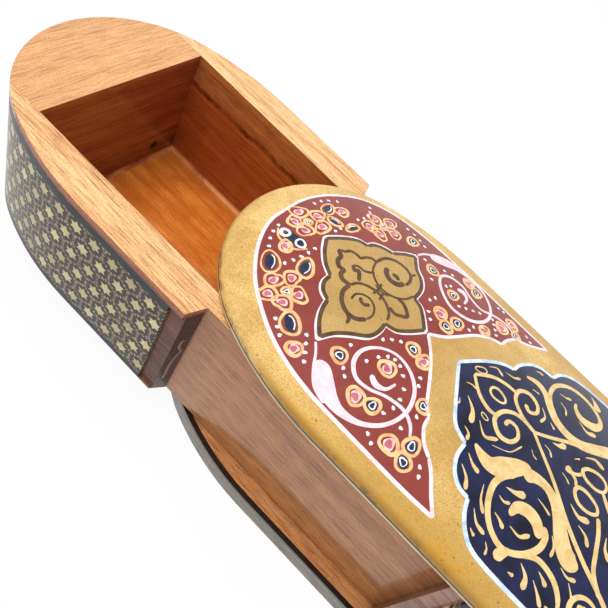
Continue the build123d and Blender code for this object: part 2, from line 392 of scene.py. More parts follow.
def gilding(name, light, dark):
    """Gold paint over gesso: grainy, with darker rubbed patches and fine dark specks. Shade and
    sheen are painted in too: on the crown's top, on the lower crown of the middle stretch, and on
    the rolled edge away from the tips.
    """
    p = Paint(name, Metallic=0.25, Coat_Weight=0.25, Coat_Roughness=0.2)
    here = p.place()
    cloud = p.noise(here, 0.09, 4, 0.6, 0.5)
    grain = p.noise(here, 3.6, 3, 0.75)
    brush = p.noise(p.place((0.25, 1.6, 1.6)), 0.9, 3, 0.6)
    specks = p.step(p.noise(here, 1.9, 2, 0.6), 0.64, 0.74)
    where = p.split(here)
    off_middle = p.size(where["X"])
    tone = p.mix(p.step(cloud, 0.32, 0.7), light, dark)
    tone = p.mix(p.step(grain, 0.42, 0.62, 0.0, 0.55), tone, GRAIN_TONE)
    tone = p.mix(p.step(brush, 0.5, 0.8, 0.0, 0.4), tone, light)
    # painted shade: the top of the crown is made darker than its slopes
    tone = p.mix(p.step(where["Z"], RIM + 6.4, RIM + 8.4, 0.0, 0.58), tone, CROWN_SHADE_TONE)
    roll_shading = p.step(off_middle, SHADED_ROLL_TO - SHADED_ROLL_FADE, SHADED_ROLL_TO, 1.0, 0.0)
    # painted shade: the lower crown is darkened to ochre along the middle stretch
    middle = p.step(off_middle, 58.0, 92.0, 0.62, 0.0)
    below = p.step(where["Z"], CROWN_EDGE + 1.2, CROWN_EDGE + 3.4, 1.0, 0.0)
    tone = p.mix(p.times(middle, below), tone, MIDDLE_SHADE_TONE)
    # painted sheen and shade: a saturated ochre band low on the crown, and darker brown where the
    # edge rolls down
    cloudy_height = p.plus_times(cloud, 5.0, where["Z"])
    low = p.step(cloudy_height, CROWN_EDGE + 1.4, CROWN_EDGE + 3.6, 0.85, 0.0)
    tone = p.mix(p.times(low, roll_shading), tone, ROLL_SHEEN_OCHRE)
    grainy_height = p.plus_times(grain, 1.6, where["Z"])
    rolled = p.step(grainy_height, CROWN_EDGE + 0.1, CROWN_EDGE + 1.2, 0.5, 0)
    tone = p.mix(p.times(rolled, roll_shading), tone, ROLL_SHADE_TONE)
    spots = p.step(p.noise(here, 0.3, 4, 0.75), 0.5, 0.66, 0.0, 0.75)
    # dark patches along the foot of the rolled edge
    roll_foot_spots = p.times(p.step(grainy_height, ROUND_FOOT + 0.7, ROUND_FOOT + 2.2, 1.0, 0), spots)
    tone = p.mix(roll_foot_spots, tone, ROLL_FOOT_SPOT_TONE)
    tone = p.mix(p.times(specks, 0.7), tone, SPECK_TONE)
    return p.finish(tone, p.step(grain, 0.3, 0.8, 0.38, 0.55), p.plus(grain, brush), 0.05)


def lacquer(name, colour, deep, gloss=0.4, coat=0.3, scale=0.5):
    """Hand-laid paint under lacquer, thinner and thicker in places."""
    p = Paint(name, Coat_Weight=coat, Coat_Roughness=0.1, Coat_IOR=1.5)
    here = p.place()
    pool = p.noise(here, scale, 4, 0.6, 0.6)
    fine = p.noise(here, 4.0, 2, 0.6)
    tone = p.mix(p.step(pool, 0.36, 0.7), colour, deep)
    tone = p.mix(p.step(fine, 0.5, 0.85, 0.0, 0.35), tone, deep)
    return p.finish(tone, p.step(fine, 0.3, 0.8, gloss - 0.05, gloss + 0.12), fine, 0.008)


STAR_PITCH = 5.25  # between the marquetry's stars along the sheet
STAR_ROWS = 4.3  # between its rows
STAR_TIP = 1.78  # from a star's middle to its point
STAR_PHASE = 2.25  # a star of the upper rows stands this far from the nose's tip
STAR_LEVEL = 34.0  # height of an upper row
TEETH = 3  # small triangles along each side of a star's cell
STAR_BLUR = 0.07  # half the soft edge of a star
CELL_SIZE = 0.866  # of the dark cell round a star, to the star's own reach

CREAM = (srgb(206, 192, 144), srgb(172, 158, 112))
SLATE = (srgb(14, 24, 28), srgb(50, 56, 54))
DUSK = (srgb(26, 32, 34), srgb(62, 46, 36))
BONE = (srgb(166, 150, 122), srgb(100, 72, 54))
WORN_TONE = srgb(96, 84, 66)


def marquetry(name):
    """Star marquetry: pale six-pointed stars in dark cells, divided by rows of small triangles."""
    p = Paint(name, Coat_Weight=0.35, Coat_Roughness=0.08, Coat_IOR=1.45, IOR=1.2)
    root3 = math.sqrt(3)
    half, tall = STAR_PITCH / 2, STAR_PITCH * root3 / 2
    squeeze = tall / STAR_ROWS
    sheet = p.split(p.place((1, squeeze, 1), uv=True))
    u = p.minus(sheet["X"], STAR_PHASE)
    v = p.minus(sheet["Y"], STAR_LEVEL * squeeze)

    def near(shift_u, shift_v):
        """Place in the nearest cell of one of the two lattices, and how far off its star is."""
        a = p.math("WRAP", p.plus(u, shift_u), half, -half)
        b = p.math("WRAP", p.plus(v, shift_v), tall, -tall)
        return a, b, p.distance(a, b)

    (a1, b1, far1), (a2, b2, far2) = near(0, 0), near(half, tall)
    second = p.math("LESS_THAN", far2, far1)
    first = p.minus(1.0, second)

    def choose(one, two):
        return p.plus(p.times(one, first), p.times(two, second))

    # c1, c2 and c3 are how far a place lies along three directions. A six-pointed star is where
    # the middle one of them is small. side is the place's reach toward the cell's six sides.
    x, y = choose(a1, a2), choose(b1, b2)
    cell_u, cell_v = p.minus(u, x), p.minus(v, y)
    ax, ay = p.size(x), p.size(y)
    lean, rise = p.times(ax, root3 / 2), p.times(ay, 0.5)
    c1, c2, c3 = ay, p.plus(lean, rise), p.size(p.minus(lean, rise))
    upper, lower = p.math("MAXIMUM", c1, c2), p.math("MINIMUM", c1, c2)
    middle = p.math("MAXIMUM", lower, p.math("MINIMUM", upper, c3))
    wide = p.plus_times(ax, 0.5, p.times(ay, root3 / 2))
    side = p.math("MAXIMUM", ax, wide)
    slanted = p.math("GREATER_THAN", wide, ax)
    along = p.plus(p.times(c3, slanted), p.times(ay, p.minus(1.0, slanted)))
    tooth = STAR_PITCH / root3 / TEETH
    saw = p.math("PINGPONG", p.plus(along, tooth / 2), tooth / 2)
    teeth = p.step(p.minus(p.minus(STAR_PITCH / 2, side), saw), -0.1, 0.08, 1, 0)
    star = p.step(middle, STAR_TIP / 2 - STAR_BLUR, STAR_TIP / 2 + STAR_BLUR, 1.0, 0.0)
    cell = p.step(side, STAR_TIP * CELL_SIZE, STAR_TIP * CELL_SIZE + 0.12, 1.0, 0.0)

    cell_id = p.node("CombineXYZ", [(0, cell_u), (1, cell_v)]).outputs[0]
    cell_id = p.node("VectorMath", [(0, cell_id), (1, (0.31,) * 3)], operation="SNAP").outputs[0]
    dice = p.node("TexWhiteNoise", [("Vector", cell_id)]).outputs["Value"]
    bits = p.noise(p.place((1.6, 1.6, 1), uv=True), 1.0, 1, 0.5)
    worn = p.noise(p.place((0.15, 0.3, 1), uv=True), 1.0, 3, 0.6)
    cream = p.mix(dice, *CREAM)
    slate = p.mix(bits, *SLATE)
    dusk = p.mix(p.step(bits, 0.4, 0.6), *DUSK)
    bone = p.mix(p.step(bits, 0.42, 0.58), *BONE)
    tone = p.mix(teeth, dusk, bone)
    tone = p.mix(cell, tone, slate)
    tone = p.mix(star, tone, cream)
    tone = p.mix(p.step(worn, 0.4, 0.8, 0.0, 0.3), tone, WORN_TONE)
    rough = p.step(bits, 0.3, 0.7, 0.26, 0.4)
    return p.finish(tone, rough, p.plus(star, p.times(bits, 0.4)), 0.02)


def strip(name, colour, deep, coat):
    """Thin stained strip with grain along it."""
    p = Paint(name, Coat_Weight=coat, Coat_Roughness=0.1, Coat_IOR=1.6, IOR=1.3)
    streaks = p.noise(p.place((0.2, 0.2, 2.5)), 1.0, 3, 0.6)
    tone = p.mix(p.step(streaks, 0.35, 0.7), colour, deep)
    return p.finish(tone, p.step(streaks, 0.3, 0.7, 0.3, 0.45), streaks, 0.02, 0.15)


# Mesh pieces


SHARP_ANGLE = 38.0


def make_piece(name, points, faces, material, body, uvs=None):
    """Mesh object from points in millimetres, riding on a body."""
    mesh = bpy.data.meshes.new(name)
    mesh.from_pydata([tuple(c * MM for c in point) for point in points], [], faces)
    if uvs:
        layer = mesh.uv_layers.new(name=SHEET_UV)
        for loop in mesh.loops:
            layer.data[loop.index].uv = [c * MM for c in uvs[loop.vertex_index]]
    mesh.materials.append(material)
    mesh.shade_smooth()
    mesh.set_sharp_from_angle(angle=math.radians(SHARP_ANGLE))
    piece = bpy.data.objects.new(name, mesh)
    bpy.context.scene.collection.objects.link(piece)
    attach(piece, body)
    return piece


ARC_STEPS, STRAIGHT_STEPS = 72, 20


def closed_ring(inset, height):
    """Points right round the case's outline at this inset and height."""
    half_straight = (CLOSED_TIP - OPEN_TIP) / 2 - END_LENGTH
    stations = [SIDE_REACH * k / ARC_STEPS for k in range(ARC_STEPS)]
    stations += [
        SIDE_REACH + half_straight * k / STRAIGHT_STEPS for k in range(STRAIGHT_STEPS + 1)
    ]
    quarter = [rim_point(OPEN_TIP, s, inset) for s in stations]
    near = quarter + [(-x, y) for x, y in quarter[-2::-1]]
    far = [(x, -y) for x, y in near[-2:0:-1]]
    return [(x, y, height) for x, y in near + far]


def skin(rings):
    """Points and faces of a solid strung on rings of points, closed at both ends."""
    count = len(rings[0])
    points = [point for ring in rings for point in ring]
    faces = []
    for start in range(0, len(points) - count, count):
        for k in range(count):
            after = (k + 1) % count
            faces.append((start + k, start + after, start + count + after, start + count + k))
    faces.append(tuple(reversed(range(count))))
    faces.append(tuple(range(len(points) - count, len(points))))
    return points, faces


def gilt_cover(material):
    """The crowned cover with its rolled edge, as rings from the rim up to the middle."""
    round_steps, crown_steps = 10, 30
    flat = [(EDGE_LINE_WIDTH, COVER_LOW.z), (EDGE_LINE_WIDTH, LINE_TOP), (0, LINE_TOP)]
    insets = [ROUND_END * (k / round_steps) ** 2 for k in range(round_steps + 1)]
    rest = CROWN_REACH - ROUND_END
    insets += [ROUND_END + rest * k / crown_steps for k in range(1, crown_steps + 1)]
    profile = flat + [(inset, crown_height(inset)) for inset in insets]
    points, faces = skin([closed_ring(inset, height) for inset, height in profile])
    cover = make_piece("gilt_cover", points, faces, material, "case")
    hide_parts("cover_board")


def band(name, tip, start, end, low, high, material, body, mirror=1, flip=1):
    """Sheet of veneer bent round the outline between two distances from a tip.

    mirror -1 is the far side, and flip -1 the closed end.
    """
    steps = max(int(abs(end - start) / SHEET_STEP), 2)
    rings, uvs = [], []
    for k in range(steps + 1):
        along = start + (end - start) * k / steps
        ring = []
        for inset, height in ((VENEER, low), (0, low), (0, high), (VENEER, high)):
            x, y = rim_point(tip, along, inset)
            ring.append((x * flip, y * mirror, height))
            uvs.append((along, height))
        rings.append(ring)
    points, faces = skin(rings)
    if mirror * flip > 0:
        faces = [face[::-1] for face in faces]
    sheet = make_piece(name, points, faces, material, body, uvs=uvs)
    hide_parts(name)


BEAD_SIZE, BEAD_STEPS, BEAD_SINK = 0.9, 5, 0.2


def lacquer_beads(material):
    """Lacquer that ran into the corners between the tray's floor and its walls, as hollow beads."""
    floor_low, floor_high = box_mm("tray_floor")
    front, left, right, top = floor_low.x, floor_low.y, floor_high.y, floor_high.z
    rear = box_mm("tray_rear_wall")[0].x
    edges = (  # from, to, and the way inward
        ((front, left), (rear, left), (0, 1)),
        ((rear, right), (front, right), (0, -1)),
        ((front, right), (front, left), (1, 0)),
        ((rear, left), (rear, right), (-1, 0)),
    )
    section = [(-BEAD_SINK, -BEAD_SINK)]
    for k in range(BEAD_STEPS + 1):
        turn = math.pi / 2 * k / BEAD_STEPS
        section.append((BEAD_SIZE * (1 - math.sin(turn)), BEAD_SIZE * (1 - math.cos(turn))))
    points, faces = [], []
    for *ends, inward in edges:
        made, made_faces = skin([
            [(x + inward[0] * out, y + inward[1] * out, top + up) for out, up in section]
            for x, y in ends
        ])
        faces += [tuple(len(points) + k for k in face) for face in made_faces]
        points += made
    make_piece("lacquer_beads", points, faces, material, "tray")


LACQUER_RUN = [  # y and z of a run of lacquer down the nose's shoulder
    (-28.3, 28.2), (-28.8, 28.7), (-29.1, 27), (-28.7, 25), (-28.1, 24), (-28.5, 22.2), (-29, 20),
    (-29.2, 16.8), (-29.1, 13.9), (-29.3, 12),
]

RUN_SECTION = [(-1, -0.2), (-0.7, 0.1), (0, 0.16), (0.7, 0.1), (1, -0.2)]
RUN_HALF, RUN_END_HALF = 0.34, 0.1


def lacquer_run(material):
    """A run of lacquer that dried on the leaning shoulder, as a low bead."""
    shoulder = NOSE_HIGH.x + SHOULDER_REACH
    slope = SHOULDER_BEVEL / (HALF_WIDTH - TRAY_HALF)
    line = smooth_line(LACQUER_RUN, 0.5)
    last = len(line) - 1
    rings = []
    for k, (y, z) in enumerate(line):
        before, after = line[max(k - 1, 0)], line[min(k + 1, last)]
        dy, dz = after[0] - before[0], after[1] - before[1]
        size = math.hypot(dy, dz)
        half = RUN_HALF if 0 < k < last else RUN_END_HALF
        ring = []
        for across, up in RUN_SECTION:
            run_y, run_z = y - dz / size * across * half, z + dy / size * across * half
            face = shoulder - slope * (abs(run_y) - TRAY_HALF)
            ring.append((face + up, run_y, run_z))
        rings.append(ring)
    points, faces = skin(rings)
    make_piece("lacquer_run", points, faces, material, "tray")


def marquetry_sheets(material):
    """The star sheets: one round the nose, and three round the case."""

    def reach(x, tip):
        """How far round the outline from its tip a place on the straight side is."""
        return SIDE_REACH + x - (tip + END_LENGTH)

    nose = reach(NOSE_HIGH.x, NOSE_LOW.x)
    heights = NOSE_LOW.z, NOSE_HIGH.z
    band("nose_marquetry", NOSE_LOW.x, -nose, nose, *heights, material, "tray")
    heights = SHEET_LOW.z, SHEET_HIGH.z
    ends = reach(SHEET_LOW.x, OPEN_TIP), reach(SHEET_HIGH.x, OPEN_TIP)
    for name, mirror in (("case_marquetry_front", 1), ("case_marquetry_back", -1)):
        band(name, OPEN_TIP, *ends, *heights, material, "case", mirror)
    ends = -SIDE_REACH - TINY, SIDE_REACH + TINY
    band("case_marquetry_end", OPEN_TIP, *ends, *heights, material, "case", flip=-1)


# The painting on the cover. Points are (x, y) or (x, y, width) on the cover, seen from above.


def turned(x, y, along, across, turn):
    """Place so far along and across from a point, in directions turned by an angle."""
    return (
        x + along * math.cos(turn) - across * math.sin(turn),
        y + along * math.sin(turn) + across * math.cos(turn),
    )


def smooth_line(points, step=0.4, closed=False):
    """Curve through the points, as close points along it."""
    count = len(points)
    made = []
    for k in range(count if closed else count - 1):
        if closed:
            four = [points[(k + j) % count] for j in (-1, 0, 1, 2)]
        else:
            four = [points[min(max(k + j, 0), count - 1)] for j in (-1, 0, 1, 2)]
        pieces = max(int(math.dist(four[1][:2], four[2][:2]) / step), 3)
        for j in range(pieces):
            t = j / pieces
            made.append(tuple(
                0.5 * (2 * q + (r - p) * t + (2 * p - 5 * q + 4 * r - s) * t**2
                       + (3 * q - p - 3 * r + s) * t**3)
                for p, q, r, s in zip(*four)
            ))
    if not closed:
        made.append(tuple(points[-1]))
    return made


def joined(segments):
    """One outline from curves that meet at sharp corners."""
    outline = []
    for segment in segments:
        outline += smooth_line(segment)[:-1]
    return outline


GRID = 1.6  # between points inside a field
SHIFT_X, SHIFT_Y = 0.11, 0.07  # the grid's own place
SINK = -0.03  # the paint's rim goes this far into the ground
STROKE_SECTION = ((-1, None), (-0.95, 0.7), (0, 1.0), (0.95, 0.7), (1, None))
STROKE_HEIGHT = 0.025
BLOB_RINGS = ((0.55, 0.022), (0.96, 0.012), (1.0, None))  # size, and height over the lift
BLOB_STEPS = 20
LOOP_STEPS = 10


class Layer:
    """All the paint of one colour, as thin raised shapes that follow the crown."""

    def __init__(self, name, material, lift, both_ends=True):
        self.name = name
        self.material = material
        self.lift = lift
        self.both_ends = both_ends
        self.points = []
        self.faces = []

    def add_point(self, x, y, over_lift):
        """Point this much over the layer's own height, or None for in the ground."""
        lift = SINK if over_lift is None else self.lift + over_lift
        self.points.append((x, y, ground(x, y) + lift))
        return len(self.points) - 1

    def fill(self, outline):
        """Flat colour inside a closed outline, with a grid inside it to follow the crown."""
        flat = [Vector(point[:2]) for point in outline]
        edge_count = len(flat)
        edges = [(k, (k + 1) % edge_count) for k in range(edge_count)]
        (x0, x1), (y0, y1) = [
            (int(min(values) / GRID) - 1, int(max(values) / GRID) + 2) for values in zip(*flat)
        ]
        for i in range(x0, x1):
            for j in range(y0, y1):
                y = (j + 0.5 * (i % 2)) * GRID + SHIFT_Y
                flat.append(Vector((i * GRID + SHIFT_X, y)))
        loop = [tuple(range(edge_count))]
        made = geometry.delaunay_2d_cdt(flat, edges, loop, 1, TINY)
        verts, made_faces = made[0], made[2]
        used = sorted({k for face in made_faces for k in face})
        place = {k: self.add_point(verts[k].x, verts[k].y, 0.0) for k in used}
        sides = {}
        for face in made_faces:
            face = [place[k] for k in face]
            self.faces.append(tuple(face))
            for a, b in zip(face, face[1:] + face[:1]):
                sides[(a, b)] = True
        low = {}
        for a, b in sides:
            if (b, a) in sides:
                continue
            for k in (a, b):
                if k not in low:
                    low[k] = self.add_point(*self.points[k][:2], None)
            self.faces.append((b, a, low[a], low[b]))

    def stroke(self, points, width=None, closed=False):
        """A brush stroke with round ends, thicker in its middle than at its edges."""
        if width is not None:
            points = [(x, y, width) for x, y, *_ in points]
        line = smooth_line(points, 0.3, closed)
        count = len(line)
        travelled = [0.0]
        for a, b in zip(line, line[1:]):
            travelled.append(travelled[-1] + math.dist(a[:2], b[:2]))
        rows = []
        for k, (x, y, w) in enumerate(line):
            before, after = line[k - 1] if k or closed else line[0], line[(k + 1) % count]
            if k == count - 1 and not closed:
                after = line[k]
            dx, dy = after[0] - before[0], after[1] - before[1]
            size = math.hypot(dx, dy) or 1.0
            half = max(w, 0.05) / 2
            if not closed:
                to_end = min(travelled[k], travelled[-1] - travelled[k])
                if to_end < half:
                    half *= math.sqrt(max(1 - (1 - to_end / half) ** 2, 0.01))
            rows.append([
                self.add_point(
                    x - dy / size * across * half,
                    y + dx / size * across * half,
                    None if up is None else STROKE_HEIGHT * up,
                )
                for across, up in STROKE_SECTION
            ])
        for one, two in zip(rows, rows[1:] + ([rows[0]] if closed else [])):
            for k in range(len(STROKE_SECTION) - 1):
                self.faces.append((one[k], two[k], two[k + 1], one[k + 1]))

    def blob(self, x, y, length, width, angle=0.0, point=0.0, wobble=0.06):
        """A drop of paint. point draws its far end out to a tip."""
        middle = self.add_point(x, y, STROKE_HEIGHT)
        rings = []
        for size, up in BLOB_RINGS:
            ring = []
            for k in range(BLOB_STEPS):
                a = 2 * math.pi * k / BLOB_STEPS
                off = 1 + wobble * math.sin(3 * a + x * 5) + wobble * math.sin(2 * a + y * 3)
                along = math.cos(a) * length / 2 * off
                narrow = 1 - point * max(math.cos(a), 0) ** 2 * 0.5
                across = math.sin(a) * width / 2 * off * narrow
                place = turned(x, y, size * along, size * across, math.radians(angle))
                ring.append(self.add_point(*place, up))
            rings.append(ring)
        for k in range(BLOB_STEPS):
            after = (k + 1) % BLOB_STEPS
            self.faces.append((middle, rings[0][k], rings[0][after]))
            for one, two in zip(rings, rings[1:]):
                self.faces.append((one[k], two[k], two[after], one[after]))

    def loop(self, x, y, length, width, line, angle=0.0, wobble=0.05):
        """A closed ring of paint."""
        points = []
        for k in range(LOOP_STEPS):
            a = 2 * math.pi * k / LOOP_STEPS
            off = 1 + wobble * math.sin(2 * a + x * 7) + wobble * math.cos(3 * a + y * 5)
            along, across = math.cos(a) * length / 2 * off, math.sin(a) * width / 2 * off
            place = turned(x, y, along, across, math.radians(angle))
            points.append((*place, line * (1 + 2 * wobble * math.sin(a + x))))
        self.stroke(points, closed=True)

    def make(self):
        """The finished piece, with its copy at the closed end."""
        points, faces = list(self.points), list(self.faces)
        if self.both_ends:
            first = len(points)
            points += [(-x, y, z) for x, y, z in self.points]
            faces += [tuple(first + k for k in face[::-1]) for face in self.faces]
        make_piece(self.name, points, faces, self.material, "case")


FIELD_NEAR = [
    [(-113.4, 0), (-113.3, -4.5), (-111.8, -9.2), (-109, -14), (-105, -18.5), (-100, -22),
     (-95, -24.5), (-90, -26.1), (-85, -27), (-80, -27.4), (-70, -27.5), (-60, -27.5),
     (-53.6, -27.2)],
    [(-53.6, -27.2), (-56, -24.8), (-58.6, -21.8), (-60.4, -20.2)],
    [(-60.4, -20.2), (-62.6, -18.9), (-64.4, -16.7), (-64.9, -14.4)],
    [(-64.9, -14.4), (-66.6, -12.8), (-68.2, -10), (-70.2, -6.4), (-72.4, -3), (-75, 0)],
]
FIELD_FAR = [
    [(-75, 0), (-72.2, 2.6), (-70, 5.8), (-67.8, 9.4), (-65.2, 12.2), (-62.2, 13.9)],
    [(-62.2, 13.9), (-61.7, 16.3), (-60.3, 19.3)],
    [(-60.3, 19.3), (-57.4, 21.2), (-55.2, 23.4), (-52.8, 26.2)],
    [(-52.8, 26.2), (-60, 26.2), (-70, 26.2), (-80, 26), (-90, 25.8), (-97, 25), (-103, 22.5),
     (-107, 19.2), (-110.2, 14.5), (-112.2, 10), (-113.3, 5), (-113.4, 0)],
]
MEDALLION = [
    [(-103.4, 0.2), (-101.6, -2.9), (-99.4, -5.4), (-97.5, -6.7), (-96.6, -7.2)],
    [(-96.6, -7.2), (-96.5, -9.4), (-95.3, -11.1), (-93.3, -12)],
    [(-93.3, -12), (-92.6, -14.6), (-91.2, -17), (-89, -19.3)],
    [(-89, -19.3), (-87.6, -16.6), (-85.4, -14.2), (-82.6, -11.6), (-81.8, -9), (-82, -6.4)],
    [(-82, -6.4), (-79.6, -5.7), (-77.4, -3.2), (-75.4, 0)],
    [(-75.4, 0), (-77.6, 2.6), (-79.4, 4.2), (-81.4, 4.7)],
    [(-81.4, 4.7), (-81.7, 8.2), (-83.2, 10.9), (-85.6, 12.8), (-87.8, 16.2)],
    [(-87.8, 16.2), (-89.6, 14.2), (-90.8, 12.4), (-91.6, 11)],
    [(-91.6, 11), (-94, 10), (-95.8, 8.6), (-96.4, 6.9)],
    [(-96.4, 6.9), (-98.8, 6), (-101.2, 3.4), (-103.4, 0.2)],
]
NAVY_NEAR = [
    [(-67, 0.4), (-65, -3.6), (-62.8, -7.8), (-60.4, -11.4), (-57, -12.9)],
    [(-57, -12.9), (-56.9, -15.8), (-55.6, -18.4), (-53.4, -20), (-51, -20.3)],
    [(-51, -20.3), (-50, -22.6), (-48, -24.9), (-45.2, -26.4), (-40, -26.9), (-30, -27),
     (-15, -27), (0, -27)],
]
NAVY_FAR = [
    [(0, 26.6), (-15, 26.6), (-30, 26.5), (-38, 26.3), (-43, 25.3), (-46, 23.8), (-48.2, 21.2),
     (-49.3, 18.3)],
    [(-49.3, 18.3), (-52.5, 17.7), (-55, 15.7), (-56.8, 12.7), (-57.3, 10.3)],
    [(-57.3, 10.3), (-59.6, 9.2), (-62.2, 6.8), (-64.6, 3.8), (-67, 0.4)],
]


def lines_of(layer, segments, width):
    """A line of paint along each curve."""
    for segment in segments:
        layer.stroke(segment, width)


FIELD_LINE = 0.74
MEDALLION_LINE = 0.62
NAVY_LINE = 0.8
INNER_LINE = 0.9
MEDALLION_MIDDLE = -89.0
INNER_SCALE = 0.955  # of the brown line inside the medallion's white one


def fields(maroon, navy, white, sky, gold, umber):
    """The two end fields with their medallions, and the long field between them."""
    maroon.fill(joined(FIELD_NEAR + FIELD_FAR))
    lines_of(white, FIELD_NEAR + FIELD_FAR, FIELD_LINE)
    gold.fill(joined(MEDALLION))
    lines_of(white, MEDALLION, MEDALLION_LINE)
    inner = [
        [
            (MEDALLION_MIDDLE + (x - MEDALLION_MIDDLE) * INNER_SCALE, y * INNER_SCALE)
            for x, y in segment
        ]
        for segment in MEDALLION
    ]
    lines_of(umber, inner, INNER_LINE)
    flipped = [[(-x, y) for x, y in segment[::-1]] for segment in (NAVY_NEAR + NAVY_FAR)[::-1]]
    navy.fill(joined(NAVY_NEAR + flipped[3:] + flipped[:3] + NAVY_FAR))
    lines_of(sky, NAVY_NEAR + NAVY_FAR, NAVY_LINE)


GOLD_BREADTH = 1.2  # the gold scrolls are this much wider than their drawn line

SPIRAL_LINES = [  # brown drawing inside the medallion: points, and a width
    ([(-82.5, -5.2), (-83.2, -3.5), (-84.9, -2.2), (-87.2, -1.6), (-89.4, -2), (-91.5, -3.3),
      (-92.4, -5.2)], 0.65),
    ([(-92.4, -5.2), (-92.4, -7.5), (-91.1, -9.5), (-88.9, -10.6), (-86.8, -10.2),
      (-85.4, -8.6)], 1),
    ([(-88.9, -10.6), (-87.8, -11.3), (-87.4, -12.5)], 0.8),
    ([(-85.4, -8.6), (-85.1, -7), (-85.8, -5.3), (-87.4, -4.3), (-89.1, -4.6), (-90.3, -5.9),
      (-90.2, -7.6)], 0.5),
    ([(-89.2, -5.6), (-88.6, -6.3), (-87.6, -6.3), (-86.9, -5.4)], 0.85),
    ([(-92.4, 4.6), (-91.9, 7.2), (-90.2, 9.1), (-87.6, 9.7), (-85.6, 9), (-84.8, 7.2),
      (-84.9, 5.6)], 0.8),
    ([(-85.6, 9), (-85.2, 9.7), (-85, 10.5)], 0.6),
    ([(-92.4, 4.6), (-91.7, 2.2), (-89.8, 0.5), (-87.4, -0.1), (-84.8, 0.7), (-82.9, 2.6),
      (-82.2, 4.8)], 0.55),
    ([(-90, 5.7), (-89.4, 4.3), (-87.7, 3.5), (-86, 4.2), (-85.3, 5.7)], 1.3),
    ([(-88.4, 5.2), (-87.4, 5.6), (-86.5, 5.1)], 1.1),
    ([(-99.4, -0.3), (-98.2, 0.6), (-97.5, 1.8), (-96.2, 2.2), (-95.1, 2.2), (-94.5, 3.4),
      (-93.6, 4.4), (-92.2, 4.6)], 0.75),
    ([(-99.4, -0.3), (-98, -1.1), (-97.7, -2.6), (-96.6, -3.6), (-95.4, -3.5), (-95.3, -4.6),
      (-94.2, -5.5), (-92.4, -5.2)], 1.05),
    ([(-95, -0.7), (-93.9, 0), (-92.7, 0.1), (-91.6, 1), (-90.9, 1.9)], 0.6),
    ([(-95, -0.7), (-94, -1.6), (-93.4, -0.9), (-92.7, -1.6), (-91.8, -2.9)], 0.95),
    ([(-84.3, 1.2), (-82.3, 1.1), (-80.3, -0.5), (-81, -1.6), (-82.4, -2.5), (-84, -2.2)], 0.9),
    ([(-88.4, 1), (-88, -0.4), (-88.1, -2.7)], 0.6),
    ([(-86.3, 0), (-86.7, -1.2), (-86.3, -2.8)], 0.55),
    ([(-89.1, -0.4), (-87.4, -0.8), (-85.6, -0.2)], 0.45),
]
PINK_SCROLLS = [
    [(-88.9, -19.6, 0.5), (-87.4, -21.2, 0.5), (-85.6, -23.6, 0.7), (-83.2, -25.7, 0.9),
     (-80, -26.6, 0.9)],
    [(-86.2, -21.9, 2.2), (-84.4, -22.8, 3.5), (-82.2, -24.2, 3.5), (-79.8, -25.3, 2.7),
     (-77, -25.7, 1.7), (-73.4, -24.8, 1), (-70.4, -22.4, 0.85), (-68.8, -19.2, 0.8),
     (-68.6, -15.8, 0.85), (-70, -12.4, 0.85), (-73, -10.1, 0.75), (-76.6, -9.6, 0.6),
     (-79.8, -11.2, 0.6), (-81.8, -14.2, 0.8), (-81.5, -17.2, 0.95), (-79.2, -19.2, 0.8),
     (-76.2, -19, 0.65), (-72.8, -17.6, 0.65), (-69.2, -17.1, 0.75), (-66.6, -18.2, 0.7),
     (-65.2, -20, 0.5)],
    [(-77.6, -16.6, 1), (-75.8, -17.4, 1.3), (-73.9, -16.6, 0.7), (-73.2, -14.4, 0.5)],
    [(-87.8, 16.6, 0.5), (-87, 19, 0.6), (-85.2, 21.6, 0.7)],
    [(-85.8, 20, 2.2), (-84.2, 21.4, 3), (-82.2, 23.2, 3.2), (-79.6, 24.8, 2.2), (-76, 25.4, 1.1),
     (-72, 25, 0.8), (-69, 22.4, 0.8), (-67.6, 19, 0.8), (-68, 15.2, 0.85), (-70.6, 12, 0.85),
     (-75, 10.8, 0.8), (-79, 13, 0.75), (-81, 16.4, 0.75), (-79.5, 19.2, 0.8), (-76.2, 20, 0.7),
     (-73.2, 18.7, 0.65), (-70, 18.2, 0.65), (-67.2, 20, 0.7), (-64.4, 21.1, 0.7),
     (-61.6, 20.6, 0.5)],
    [(-76.6, 17.4, 1), (-75.2, 18.2, 1.4), (-73.7, 17.2, 0.8), (-73.5, 15, 0.5)],
]
